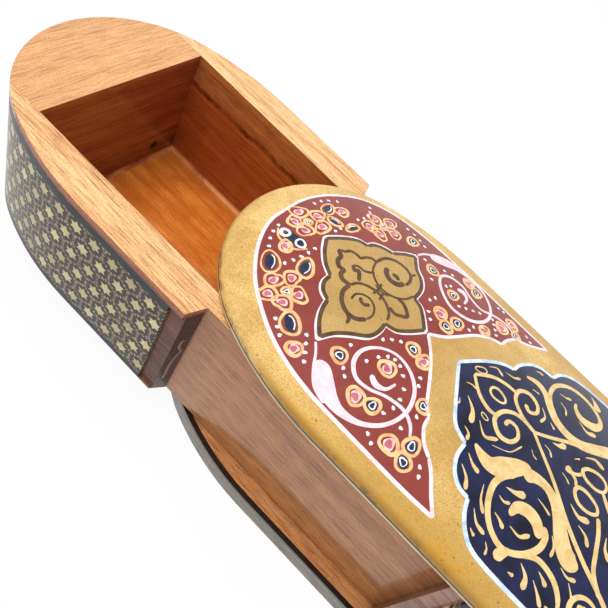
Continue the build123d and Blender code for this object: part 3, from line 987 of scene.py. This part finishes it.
GOLD_SCROLLS = [
    [(-54.2, 5.5, 0.6), (-57, 5.2, 0.7), (-60, 4, 0.7), (-63.2, 1, 0.6)],
    [(-63.2, 1, 0.6), (-60.2, -2, 0.7), (-57.2, -3.2, 0.8), (-54.9, -2.8, 0.6)],
    [(-47.4, 0.9, 0.7), (-50.2, 1.3, 0.7), (-52.8, 0.8, 0.75), (-54.8, -1.2, 0.8),
     (-55.2, -4, 0.85), (-53, -6, 0.9), (-50.6, -5.4, 0.8), (-49.7, -3.2, 0.7),
     (-50.9, -1.5, 0.65), (-52.7, -1.7, 0.7), (-53, -3.2, 0.9)],
    [(-47.4, 0.9, 0.7), (-51, 1.8, 0.7), (-53.8, 3.8, 0.75), (-54.2, 6.4, 0.8), (-52.2, 8, 0.8),
     (-49.8, 7.3, 0.75), (-49, 5.4, 0.7), (-50.4, 4.1, 0.7), (-51.8, 5, 0.9)],
    [(-47.6, 0.9, 0.6), (-44, -1.8, 0.65), (-40, -4.8, 0.7), (-34.4, -9.6, 0.8),
     (-28.8, -13.2, 0.8), (-24.4, -15.4, 0.8), (-21.4, -17.2, 0.8), (-19, -20, 0.6)],
    [(-47.6, 0.9, 0.6), (-44.4, 3, 0.65), (-40.6, 5.8, 0.7), (-36.8, 8, 0.6)],
    [(-55.6, -11.4, 0.5), (-53.4, -12.2, 1.7), (-51.2, -12.3, 2.6), (-49, -10.8, 3.5),
     (-46.8, -8.4, 2.8), (-44.6, -6.6, 1.6)],
    [(-45.4, -8.6, 2.8), (-43.2, -7.3, 2), (-40.6, -7, 1.6), (-38, -8.2, 1.9), (-36, -10.2, 2.3),
     (-34.2, -12.6, 2.7), (-32.4, -14.4, 3), (-30.6, -15.2, 3), (-28.9, -15, 1.6)],
    [(-46.6, -10, 1.4), (-48.2, -12.2, 1.2), (-48.8, -15, 1.1), (-47.7, -18.4, 1),
     (-45.2, -21.2, 0.9), (-41.6, -22.4, 0.9), (-38.4, -20.8, 1), (-36.4, -17.8, 1.1),
     (-36.4, -15, 1), (-37.6, -13.8, 0.8)],
    [(-43.6, -17, 0.8), (-43.2, -14.8, 1.8), (-41.2, -13.8, 2.1), (-38.9, -14.3, 2),
     (-37.2, -16.2, 1.3)],
    [(-41.6, -24.6, 1.9), (-41.2, -23.2, 1.7), (-40.2, -21.6, 0.8)],
    [(-38.4, -20.8, 0.9), (-35.4, -19.2, 0.9), (-31.8, -19.8, 0.9), (-29.4, -21.6, 0.8),
     (-28.4, -23.4, 0.5)],
    [(-54.4, 11.6, 0.6), (-51.8, 12.6, 1.2), (-49.4, 11.9, 1.4), (-47.3, 9.8, 1.7),
     (-45, 7.9, 1.7), (-41.6, 7.1, 1.6), (-38.2, 7.8, 1.9), (-35, 10, 2.2), (-31.6, 12.6, 2.4),
     (-29.2, 13.4, 1.8)],
    [(-46.8, 9.6, 1), (-48.4, 12.8, 0.9), (-48, 16.8, 0.9), (-44.9, 20.4, 0.9), (-40.6, 21.4, 0.9),
     (-36.9, 19.7, 0.9), (-36, 17.2, 1.2), (-37.6, 15, 1.8), (-40.4, 14.3, 1.5),
     (-42.2, 15.6, 0.9), (-42.5, 17.2, 0.5)],
    [(-39.2, 0.4, 1.9), (-37.6, 0.2, 0.8), (-36.2, 1.2, 0.6), (-35.6, 2.4, 0.6)],
    [(-37.6, 0.2, 0.8), (-36.4, -0.6, 0.6), (-35.8, -1.8, 0.6)],
    [(-30.6, 2, 0.6), (-28.6, 0, 0.8), (-26.2, -1.8, 0.8), (-24, -2.2, 0.6)],
    [(-29.6, -3.6, 0.8), (-28.4, -6.4, 0.8), (-27.4, -10, 0.8), (-26.2, -13.4, 0.8),
     (-23.4, -16.2, 0.8)],
]
GOLD_LOOPS = [  # x, y, length, width, line, angle
    (-57.2, 1.3, 3.6, 2.6, 0.55, 0), (-33, 3.1, 5.4, 3.8, 0.75, 8), (-33, -2.7, 5.4, 3.8, 0.8, -8),
    (-57, -5.3, 1.8, 0.9, 0.22, -10), (-62.6, 3.2, 2.6, 1.4, 0.28, 35),
]
TEARS = [  # from x, y to x, y, how far it bends, and its greatest width
    (-61.8, -4.4, -58.4, -8.8, 0.7, 1.3), (-59, -10.2, -57.2, -12.2, 0.6, 0.8),
    (-57.4, -6.8, -52.6, -7, -1.8, 0.9), (-53, -9, -48.2, -4, -1.2, 0.35),
    (-55.6, -13.8, -52, -15.4, -0.3, 0.9), (-55.4, -16.4, -52.2, -19.6, 0.5, 0.9),
    (-50.2, -16.2, -47.4, -20.4, -0.5, 0.7), (-49.2, -20.8, -45.2, -22.9, -0.6, 0.8),
    (-47.8, -23.8, -46.4, -24.4, 0, 0.6), (-46.8, -13.4, -43, -11.8, -0.3, 1.5),
    (-47, -15.6, -44.6, -15.2, -0.5, 0.7), (-46, -18.6, -43.2, -19.8, 0.2, 0.8),
    (-42.6, -18.4, -38.8, -17, -1, 0.9), (-41, -10.3, -37.6, -11.2, 0.1, 0.5),
    (-35.6, -13.8, -34, -17.2, 0.5, 0.7), (-35.4, -5.8, -30.8, -5.8, -1, 1.3),
    (-32.4, -8.2, -29.2, -10.4, 0.6, 0.9), (-34.4, -20.6, -32, -21.8, 0.1, 0.9),
    (-37.6, -21.8, -35, -25, 0.7, 1.2), (-34.4, -22.4, -31, -25, 0.1, 0.8),
    (-44.4, -23.6, -43.2, -25.4, 0.3, 0.5), (-38.6, -24.6, -37.4, -24.4, 0, 0.8),
    (-63.6, -2.2, -61.2, -1.6, 0.3, 0.5), (-62.8, -6.2, -62.4, -7.6, 0.2, 0.5),
    (-61.8, 5.4, -58.4, 6.2, 1, 0.6), (-58.4, 7.8, -55.2, 9.6, -0.5, 0.7),
    (-48.6, 7.8, -47.6, 4.2, 0.9, 0.7), (-45.8, 6.2, -44.4, 5.4, 0, 0.5),
    (-53.2, 15.4, -51.4, 16.2, 0.3, 0.6), (-46.6, 15.6, -43.8, 17, -0.3, 0.7),
    (-45.8, 13.4, -43.6, 11.2, 0.7, 0.5), (-40.6, 13, -36.2, 13.4, -1.1, 1.1),
    (-39.6, 24.4, -37.2, 21.2, 0.3, 2.2), (-43.6, 2.4, -41, 4.4, -0.4, 1.5),
    (-44.8, 0.5, -42.4, -0.8, 0.5, 0.45), (-46.4, -2.8, -44.6, -3.9, -0.3, 0.3),
    (-36.6, 5.8, -32.2, 7, 1, 1), (-38.4, 3.4, -37.4, 4.4, 0, 0.4),
    (-39.4, -1.6, -37.2, -2.6, 0.2, 0.4), (-31.6, -17.2, -28.2, -17, -0.6, 0.8),
    (-29.2, -18.2, -26.8, -21, 0.2, 0.6), (-26.8, -5.6, -24.6, -9.4, -0.6, 1),
    (-33.4, 18.6, -31.4, 22.4, 0.5, 1.1), (-29, 20.8, -25.8, 22.6, -0.4, 0.9),
    (-52.2, 9.8, -50.4, 10.2, 0.1, 0.4),
]


def scrolls(umber, pink, gold):
    """Brown drawing of the medallion, and scrolls of the end fields and of the long field."""
    for points, width in SPIRAL_LINES:
        umber.stroke(points, width)
    for points in PINK_SCROLLS:
        pink.stroke(points)
    for points in GOLD_SCROLLS:
        gold.stroke([(x, y, width * GOLD_BREADTH) for x, y, width in points])
    for x, y, length, width, line, angle in GOLD_LOOPS:
        gold.loop(x, y, length, width, line, angle)
    for x0, y0, x1, y1, bend, width in TEARS:
        dx, dy = x1 - x0, y1 - y0
        nx, ny = -dy / math.hypot(dx, dy) * bend, dx / math.hypot(dx, dy) * bend
        shape = ((0, 0, 0.12), (0.5, 1, width * 0.6), (0.85, 0.4, width), (1, 0, width * 0.5))
        gold.stroke([(x0 + dx * t + nx * bow, y0 + dy * t + ny * bow, w) for t, bow, w in shape])


SPIRAL_STEPS = 26


def spiral(gold, x, y, start, end, turns, first, width, across, along):
    """A rolled stem that swells half way, in the quarter where across and along say."""
    points = []
    for k in range(SPIRAL_STEPS + 1):
        t = k / SPIRAL_STEPS
        a = math.radians(first) + 2 * math.pi * turns * t
        radius = start * (1 - t) + end * t
        swell = width * (0.45 + 2.2 * t * (1 - t) + 0.35 * t)
        place = along * (x + radius * math.cos(a)), across * (y + radius * math.sin(a))
        points.append((*place, swell))
    gold.stroke(points)
    gold.blob(*points[-1][:2], width * 1.3, width * 1.3)


def leaf(gold, x, y, length, width, angle):
    """A leaf of gold, pointed at one end."""
    gold.blob(x, y, length, width, angle, 1.0, 0.1)


# The middle's scrolls, as in its first quarter. The last value says which sides have them.

BOTH, NEAR, FAR = (-1, 1), (-1,), (1,)
MIDDLE_SPIRALS = [  # x, y, first and last radius, turns, first angle, width
    (11.5, 13.4, 8.2, 1.6, 1.55, -120, 1.7, BOTH), (19.6, 3.6, 3.6, 1.0, 1.2, 150, 1.0, BOTH),
    (24.2, 17.4, 5.0, 1.0, 1.4, 100, 1.3, FAR), (24.8, 20.8, 3.2, 0.9, 1.3, 200, 1.0, NEAR),
]
MIDDLE_STROKES = [
    ([(21.6, 7.4, 0.4), (24.6, 8.8, 1.1), (27.4, 7.8, 0.5)], FAR),
    ([(4.0, 1.2, 0.5), (5.6, 3.6, 0.9), (7.4, 6.3, 1.0)], BOTH),
    ([(8.4, 5.8, 0.5), (12.4, 3.0, 0.9), (16.4, 5.2, 0.8)], BOTH),
]
MIDDLE_LEAVES = [  # x, y, length, width, angle
    (19.4, 9.8, 3.0, 1.1, -35, NEAR), (21.6, 24.6, 2.2, 0.8, 20, BOTH),
    (29.4, 24.4, 2.2, 0.8, -10, BOTH), (17.6, 22.4, 2.2, 0.8, 60, BOTH),
    (22.4, 11.4, 2.2, 0.8, 160, BOTH), (11.2, 0.9, 2.6, 0.9, 10, BOTH),
    (24.6, 6.6, 2.6, 0.9, 50, BOTH), (2.6, 11.6, 2.6, 0.9, 70, BOTH),
    (3.4, 16.6, 2.6, 0.9, 100, BOTH), (2.8, 23.4, 3.2, 1.1, -35, BOTH),
]
WREATH = (11.5, 13.4)  # the middle of the big spiral and of the leaves round it


def middle_scrolls(gold):
    """Scrolls at the middle of the long field: a rosette between rolled stems and leaves."""
    gold.loop(0, 0, 7.4, 7.4, 0.8)
    gold.blob(0, 0, 2.4, 2.4)
    for k in range(8):
        turn = math.pi / 4 * k
        for reach, a, length in ((2.3, turn, 1.5), (5.2, turn + math.pi / 8, 2.0)):
            leaf(gold, reach * math.cos(a), reach * math.sin(a), length, 0.8, math.degrees(a))
    for across, along in ((-1, -1), (-1, 1), (1, -1), (1, 1)):
        side = across * along
        for *values, sides in MIDDLE_SPIRALS:
            if across in sides:
                spiral(gold, *values, across, along)
        for points, sides in MIDDLE_STROKES:
            if across in sides:
                gold.stroke([(along * x, across * y, width) for x, y, width in points])
        for x, y, length, width, angle, sides in MIDDLE_LEAVES:
            if across in sides:
                leaf(gold, along * x, across * y, length, width, angle * side)
        for k in range(10):
            a = math.radians(12 + 36 * k)
            x, y = WREATH[0] + 10.6 * math.cos(a), WREATH[1] + 10.4 * math.sin(a)
            if 6.5 < y < 25 and 2.5 < x < 21:
                leaf(gold, along * x, across * y, 2.8, 1.0, math.degrees(a + 0.7) * side)
            x, y = WREATH[0] + 5.4 * math.cos(a), WREATH[1] + 5.4 * math.sin(a)
            if k % 2:
                leaf(gold, along * x, across * y, 1.5, 0.5, math.degrees(a + 1.6) * side)
    for across in BOTH:
        for y, length, width in ((21.6, 3.6, 1.4), (8.8, 4.4, 1.7), (15.0, 3.4, 1.2)):
            leaf(gold, 0, across * y, length, width, 90)


PETALS = [  # x, y, length, width, angle
    (-100.8, -13.2, 2.9, 2.6, 0), (-97.4, -15, 3, 2.6, 10), (-98.4, -18.3, 3, 2.6, 30),
    (-101.5, -18.9, 3, 2.6, 0), (-102.8, -16, 2.9, 2.7, 80), (-111.2, 1.8, 3, 3.4, 0),
    (-108, 4.2, 3, 2.6, 0), (-105.3, 2.2, 2.8, 3.4, 10), (-107, -1.6, 3.2, 2.8, 0),
    (-109.9, -1.3, 3, 2.6, 0), (-99.9, 16.2, 2.8, 2.8, 60), (-97.2, 19.4, 2.8, 3.2, 0),
    (-94.8, 17, 3, 2.8, 0), (-96.6, 12.8, 3, 2.8, 0), (-99.4, 12.6, 2.8, 3, 0),
    (-105.7, 10.4, 2.4, 3, 0),
]
PINK_BUDS = [
    (-106.7, -8.2, 3.2, 2.6, -60), (-90.6, -23.4, 3, 2.8, 0), (-76.2, -13.3, 3.4, 3.4, 0),
    (-76.9, -21.8, 3.4, 3.4, 0), (-72, -6.2, 3, 3.2, 0), (-67.1, -23.6, 3.6, 3.4, 0),
    (-75.8, 6.8, 3.2, 3.2, 0), (-75.5, 23.2, 3, 3.2, 0), (-66.7, 13, 2.8, 2.8, 0),
    (-64, 18.6, 3.4, 3.2, 0), (-62.5, 23, 3.2, 3, 0),
]
NAVY_BUDS = [
    (-99.4, -16.1, 2.1, 1.9, 0), (-108, 0.8, 1.8, 1.8, 0), (-97.4, 16.2, 1.8, 2.4, 0),
    (-84.1, -18.3, 3.2, 3.2, 0), (-73.7, -20.8, 3.2, 3, 0), (-75.1, -5.8, 3, 3.2, 0),
    (-66.9, -13.7, 2.8, 2.8, 0), (-63.9, -21, 3.4, 3.4, 0), (-63.3, -24.1, 3.4, 3.2, 0),
    (-83.2, 16.2, 3, 3.2, 0), (-90.8, 19.8, 3, 3.4, 0), (-72.9, 22.3, 3, 3.4, 0),
    (-76.4, 14.5, 2.8, 2.8, 0), (-72, 8.2, 3.2, 3.2, 0), (-73.3, 5.1, 3, 3, 0),
    (-60.5, 20.3, 2.6, 2.6, 0),
]
EYES = [(-109.0, -5.4), (-105.3, -5.4)]
NAVY_LEAVES = [
    (-106.1, -13.3, 4.9, 2.8, -48), (-100.6, -9.4, 4.4, 2.6, -68), (-94.5, -20.4, 4.4, 2.8, -28),
    (-108, 8.2, 3.8, 2.2, -72), (-104.7, 6, 3, 1.9, 10), (-101.2, 8, 3, 1.8, 78),
]
DOT_ROWS = [  # from x, y to x, y, how many, and how far the row bends
    (-111.3, -4.8, -108.8, -10.6, 4, -0.5), (-102.5, -4.1, -104, -11.6, 5, 0.3),
    (-97, -21.6, -94.2, -23.4, 3, 0), (-90.9, -19.9, -87.7, -23.9, 4, 0),
    (-82, -19.6, -80.8, -20.6, 2, 0), (-84, -15.2, -84, -15.2, 1, 0),
    (-80.5, -9.3, -77.8, -6.6, 3, 0.2), (-79.9, -15.3, -71.5, -14, 7, 4),
    (-70.6, -9.6, -69.9, -11.2, 2, 0), (-70.8, -16.1, -71.4, -20.3, 3, 0.4),
    (-66.6, -16.2, -67.4, -20, 2, 0), (-71, -25, -69.5, -25.8, 2, 0),
    (-60.6, -22.6, -59.7, -24, 2, 0), (-110.9, 7.2, -108.4, 12.8, 4, 0.6),
    (-102.9, 3.6, -102.7, 5.3, 2, 0), (-102.1, 11.7, -103, 19.2, 5, -1),
    (-93.8, 23, -88.2, 21.8, 4, 0.5), (-86, 17.3, -82, 13.3, 2, 0),
    (-81.3, 19.5, -79.4, 20.6, 2, 0), (-78.1, 16.5, -78.8, 15.2, 2, 0),
    (-74, 13, -69.7, 16.7, 4, 0), (-79.3, 7.6, -78.8, 9.3, 2, 0), (-77.9, 4.7, -76.6, 3.4, 2, 0),
    (-69.3, 9.4, -69, 11.2, 2, 0), (-66.7, 18.5, -64.2, 14.8, 4, 0),
    (-67, 24.5, -65.6, 24.9, 2, 0), (-58.4, 23.8, -57.1, 22.9, 2, 0),
]


def flowers(peach, rose, blush, ink, white):
    """Ringed petals, buds and leaves of the end fields, and the rows of dots between them."""
    for x, y, length, width, angle in PETALS:
        peach.loop(x, y, length * 1.16, width * 1.16, 0.55, angle, 0.12)
    for x, y, length, width, angle in PINK_BUDS:
        peach.loop(x, y, length * 0.95, width * 0.95, 0.68, angle, 0.08)
    for x, y, length, width, angle in PETALS + PINK_BUDS:
        blush.blob(x, y, length * 0.66, width * 0.64, angle, wobble=0.1)
        rose.blob(x - 0.1, y - 0.1, length * 0.46, width * 0.42, angle + 20, wobble=0.14)
    for x, y, length, width, angle in NAVY_BUDS:
        peach.loop(x, y, length * 0.92, width * 0.92, 0.66, angle, 0.08)
        ink.blob(x, y, length * 0.66, width * 0.66, angle, wobble=0.06)
        white.loop(x, y, length * 0.38, width * 0.42, 0.26, angle + 25, 0.14)
    (left, low), (right, high) = EYES
    peach.stroke([
        (left - 1.9, low, 0.4), (left, low - 2.0, 0.5), (right, high - 2.2, 0.5),
        (right + 1.9, high, 0.4),
    ])
    ink.stroke([(left, low, 2.4), (right, high, 2.4)])
    ink.blob(right, high, 3.2, 2.6, -40)
    white.loop(left - 0.1, low, 1.8, 1.8, 0.72)
    white.loop(right + 0.1, high, 2.3, 1.8, 0.5, -40)
    for k, (x, y, length, width, angle) in enumerate(NAVY_LEAVES):
        line = 0.62 if k % 3 else 0.42
        peach.loop(x, y, length * 1.14, width * 1.2, line, angle, 0.07)
        ink.blob(x, y, length * 0.84, width * 0.78, angle, 0.4)
        edge = ((-0.36, 0.06), (-0.2, 0.26), (0.1, 0.26), (0.34, 0.04))
        white.stroke(
            [turned(x, y, a * length, b * width, math.radians(angle)) for a, b in edge], 0.26
        )
    for x0, y0, x1, y1, count, bend in DOT_ROWS:
        dx, dy = x1 - x0, y1 - y0
        size = math.hypot(dx, dy) or 1.0
        for k in range(count):
            t = k / max(count - 1, 1)
            bow = bend * 4 * t * (1 - t)
            x, y = x0 + dx * t - dy / size * bow, y0 + dy * t + dx / size * bow
            white.blob(x, y, 0.85, 0.7, 40 * math.sin(x + y), wobble=0.1)


COLOURS = {  # piece, colour, the same where it's thick, lift, and what differs in the lacquer
    "maroon": ("maroon_fields", (138, 58, 50), (128, 51, 44), 0.03, {"scale": 0.15}),
    "navy": ("navy_field", (26, 33, 72), (11, 12, 34), 0.03, {"coat": 0.6, "scale": 0.14}),
    "gilt": ("gilt_medallions", None, None, 0.045, {}),
    "umber": ("medallion_lines", (96, 72, 48), (72, 52, 36), 0.05, {}),
    "white": ("white_lines", (242, 230, 232), (222, 200, 206), 0.04, {}),
    "sky": ("pale_blue_lines", (222, 232, 244), (164, 192, 224), 0.04, {}),
    "pink": ("pink_scrolls", (236, 216, 222), (224, 196, 204), 0.035, {}),
    "gold": ("gold_scrolls", (229, 201, 142), (209, 175, 115), 0.04, {}),
    "gold_middle": ("gold_middle_scrolls", (229, 201, 142), (209, 175, 115), 0.04, {}),
    "peach": ("petal_rings", (240, 200, 142), (216, 154, 104), 0.04, {}),
    "blush": ("petal_hearts", (244, 210, 212), (224, 164, 170), 0.05, {}),
    "rose": ("petal_cores", (204, 112, 122), (176, 84, 96), 0.07, {}),
    "ink": ("dark_hearts", (40, 54, 78), (24, 32, 52), 0.05, {}),
    "spark": ("white_touches", (240, 238, 238), (206, 216, 228), 0.06, {}),
}
IN_ONE_PIECE = ("navy", "gold_middle")  # the others have a copy at the closed end


def painting(gilt):
    """All the cover's painting, a piece for each colour. Gilt has a material of its own."""
    layers = {}
    for key, (name, colour, deep, lift, differs) in COLOURS.items():
        material = lacquer(key, srgb(*colour), srgb(*deep), **differs) if colour else gilt
        layers[key] = Layer(name, material, lift, key not in IN_ONE_PIECE)

    def those(*keys):
        return [layers[key] for key in keys]

    fields(*those("maroon", "navy", "white", "sky", "gilt", "umber"))
    scrolls(*those("umber", "pink", "gold"))
    middle_scrolls(layers["gold_middle"])
    flowers(*those("peach", "rose", "blush", "ink", "spark"))
    for layer in layers.values():
        layer.make()


# Materials of the solids that stay

PIN_HOLE = (14.9, 13.2)  # y and z on the compartment's front wall

RIM_TONES = (srgb(250, 204, 148), srgb(232, 176, 120))
WOODS = (  # material, light, dark, what differs, and the solids of that wood
    ("tray_side_wood", (214, 115, 49), (173, 80, 31), {
        "top": RIM_TONES, "outside": (srgb(186, 127, 78), srgb(158, 98, 58)),
        "inside": (srgb(214, 132, 72), srgb(178, 98, 46)),
        "coat": 0.48, "gloss": 0.3, "seed": 3.0, "streaks": 0.9, "fine_grain": 1.35,
    }, ("tray_side_front", "tray_side_back")),
    ("nose_block_wood", (200, 108, 54), (132, 60, 26), {
        "grain": "y", "top": (srgb(229, 174, 119), srgb(210, 152, 100)),
        "coat": 0.6, "gloss": 0.36, "seed": 11.0, "hole": PIN_HOLE, "pored": 0.3,
    }, ("tray_nose_block",)),
    ("tray_floor_wood", (244, 157, 65), (202, 104, 35), {
        "coat": 0.7, "gloss": 0.24, "seed": 23.0, "pored": 0.14, "streaks": 0.3,
        "cloud": (0.11, 0.75),
    }, ("tray_floor",)),
    ("tray_rear_wood", (196, 112, 52), (150, 74, 30), {
        "grain": "y", "top": RIM_TONES, "coat": 0.5, "gloss": 0.36, "seed": 31.0,
    }, ("tray_rear_wall",)),
    ("case_wall_wood", (168, 122, 100), (130, 86, 66), {
        "coat": 0.5, "gloss": 0.35, "seed": 41.0,
    }, ("case_wall_front", "case_wall_back")),
    ("base_wood", (232, 167, 107), (192, 124, 75), {
        "coat": 0.5, "gloss": 0.32, "seed": 53.0, "streaks": 0.6,
    }, ("base_board",)),
    ("end_block_wood", (176, 118, 84), (138, 84, 56), {
        "grain": "y", "coat": 0.4, "gloss": 0.4, "seed": 61.0,
    }, ("case_end_block",)),
)
STRIPS = (  # material, light, dark, coat, and the solids of it
    ("dark_strip", (36, 41, 48), (22, 25, 30), 0.12,
     ("nose_border_top", "nose_border_bottom", "case_border_top", "case_border_bottom")),
    ("black_line", (26, 24, 24), (14, 13, 13), 0.8, ("base_edge_line", "cover_edge_dark")),
    ("edge_band", (132, 124, 112), (92, 84, 74), 0.4, ("base_edge_band",)),
    ("pale_line", (214, 190, 140), (180, 150, 98), 0.8, ("cover_edge_pale",)),
)


def dress_solids():
    """Give every solid that stays its material."""
    dressing = []
    for name, light, dark, differs, solids in WOODS:
        dressing.append((wood(name, srgb(*light), srgb(*dark), **differs), solids))
    for name, light, dark, coat, solids in STRIPS:
        dressing.append((strip(name, srgb(*light), srgb(*dark), coat), solids))
    for material, solids in dressing:
        for solid in solids:
            nodes[solid].material_slots[0].material = material


# Surroundings


FLOOR_REACH = 3.0
FLOOR_GREY = 0.86
FLOOR_GLOW = 0.93  # share of white that the camera and reflections see, rather than shadow


def make_floor():
    """Plain pale floor that the camera sees as white, with the object's shadow on it."""
    mesh = bpy.data.meshes.new("floor")
    low, high = -FLOOR_REACH, FLOOR_REACH
    corners = [(low, low, 0), (high, low, 0), (high, high, 0), (low, high, 0)]
    mesh.from_pydata(corners, [], [(0, 1, 2, 3)])
    floor = bpy.data.objects.new("floor", mesh)
    bpy.context.scene.collection.objects.link(floor)
    p = Paint("floor_white", Base_Color=(FLOOR_GREY, FLOOR_GREY, FLOOR_GREY, 1), Roughness=0.6)
    glow = p.node("Emission", [("Strength", 1.0)])
    path = p.node("LightPath").outputs
    share = p.times(p.math("MAXIMUM", path["Is Camera Ray"], path["Is Glossy Ray"]), FLOOR_GLOW)
    p.blend_shaders(share, p.shader.outputs[0], glow.outputs[0], "Material Output")
    mesh.materials.append(p.material)


HORIZON_STRENGTH = 0.85
OVERHEAD_STRENGTH = 0.3
WORLD_FADE = (0.3, 0.85)  # from the horizon's strength to the overhead one, by height of view


def make_world():
    """Pale surroundings, brighter near the horizon and white where the camera sees them."""
    world = bpy.data.worlds.new("studio")
    bpy.context.scene.world = world
    world.use_nodes = True
    p = Nodes(world.node_tree)
    sky = p.tree.nodes["Background"]
    sky.inputs["Color"].default_value = (1, 1, 1, 1)
    height = p.split(p.node("TexCoord").outputs["Generated"])["Z"]
    strength = p.step(height, *WORLD_FADE, HORIZON_STRENGTH, OVERHEAD_STRENGTH)
    p.tree.links.new(strength, sky.inputs["Strength"])
    white = p.node("Background", [("Color", (1, 1, 1, 1)), ("Strength", 1.0)])
    seen = p.node("LightPath").outputs["Is Camera Ray"]
    p.blend_shaders(seen, sky.outputs[0], white.outputs[0], "World Output")


KEY_PLACE = Vector((-0.31, -0.08, 0.91))
KEY_AIM = Vector((-0.08, 0, 0.02))
KEY_SIZE = 0.8
KEY_POWER = 10.0
CAMERA_PLACE = Vector((-81.921, -90.516, 136.198)) * MM
CAMERA_TURN = (34.228, -23.022, 40.15)
CAMERA_LENS = 37.369


def make_light():
    """One large soft lamp above the tray's end, a little to the camera's side."""
    lamp = bpy.data.lights.new("key", "AREA")
    lamp.size = KEY_SIZE
    lamp.energy = KEY_POWER
    key = bpy.data.objects.new("key", lamp)
    key.location = KEY_PLACE
    key.rotation_euler = (KEY_AIM - KEY_PLACE).to_track_quat("-Z", "Y").to_euler()
    key.visible_glossy = False
    bpy.context.scene.collection.objects.link(key)


def make_camera():
    """Camera at the photograph's place, which was found from the outlines of the case and tray."""
    data = bpy.data.cameras.new("camera")
    data.lens = CAMERA_LENS
    data.sensor_width = 36.0
    data.clip_start = 0.005
    camera = bpy.data.objects.new("camera", data)
    camera.location = CAMERA_PLACE
    camera.rotation_euler = [math.radians(angle) for angle in CAMERA_TURN]
    bpy.context.scene.collection.objects.link(camera)
    bpy.context.scene.camera = camera


bpy.context.scene.view_settings.view_transform = "Standard"
make_camera()
make_light()
make_world()
make_floor()
dress_solids()
dried = lacquer("lacquer_run", srgb(128, 92, 74), srgb(92, 60, 46), gloss=0.3, coat=0.4)
lacquer_run(dried)
gilt_cover(gilding("gilding", srgb(250, 212, 136), srgb(216, 172, 94)))
marquetry_sheets(marquetry("marquetry"))
painting(gilding("medallion_gilding", srgb(222, 188, 124), srgb(190, 154, 94)))
# the bead's pale patches are painted highlights, where the glossy fillet catches the light; the
# dark ones are its lacquer
bead_tones_with_painted_highlights = srgb(240, 156, 98), srgb(140, 58, 20)
lacquer_beads(lacquer("bead", *bead_tones_with_painted_highlights, gloss=0.12, coat=1.0, scale=0.07))
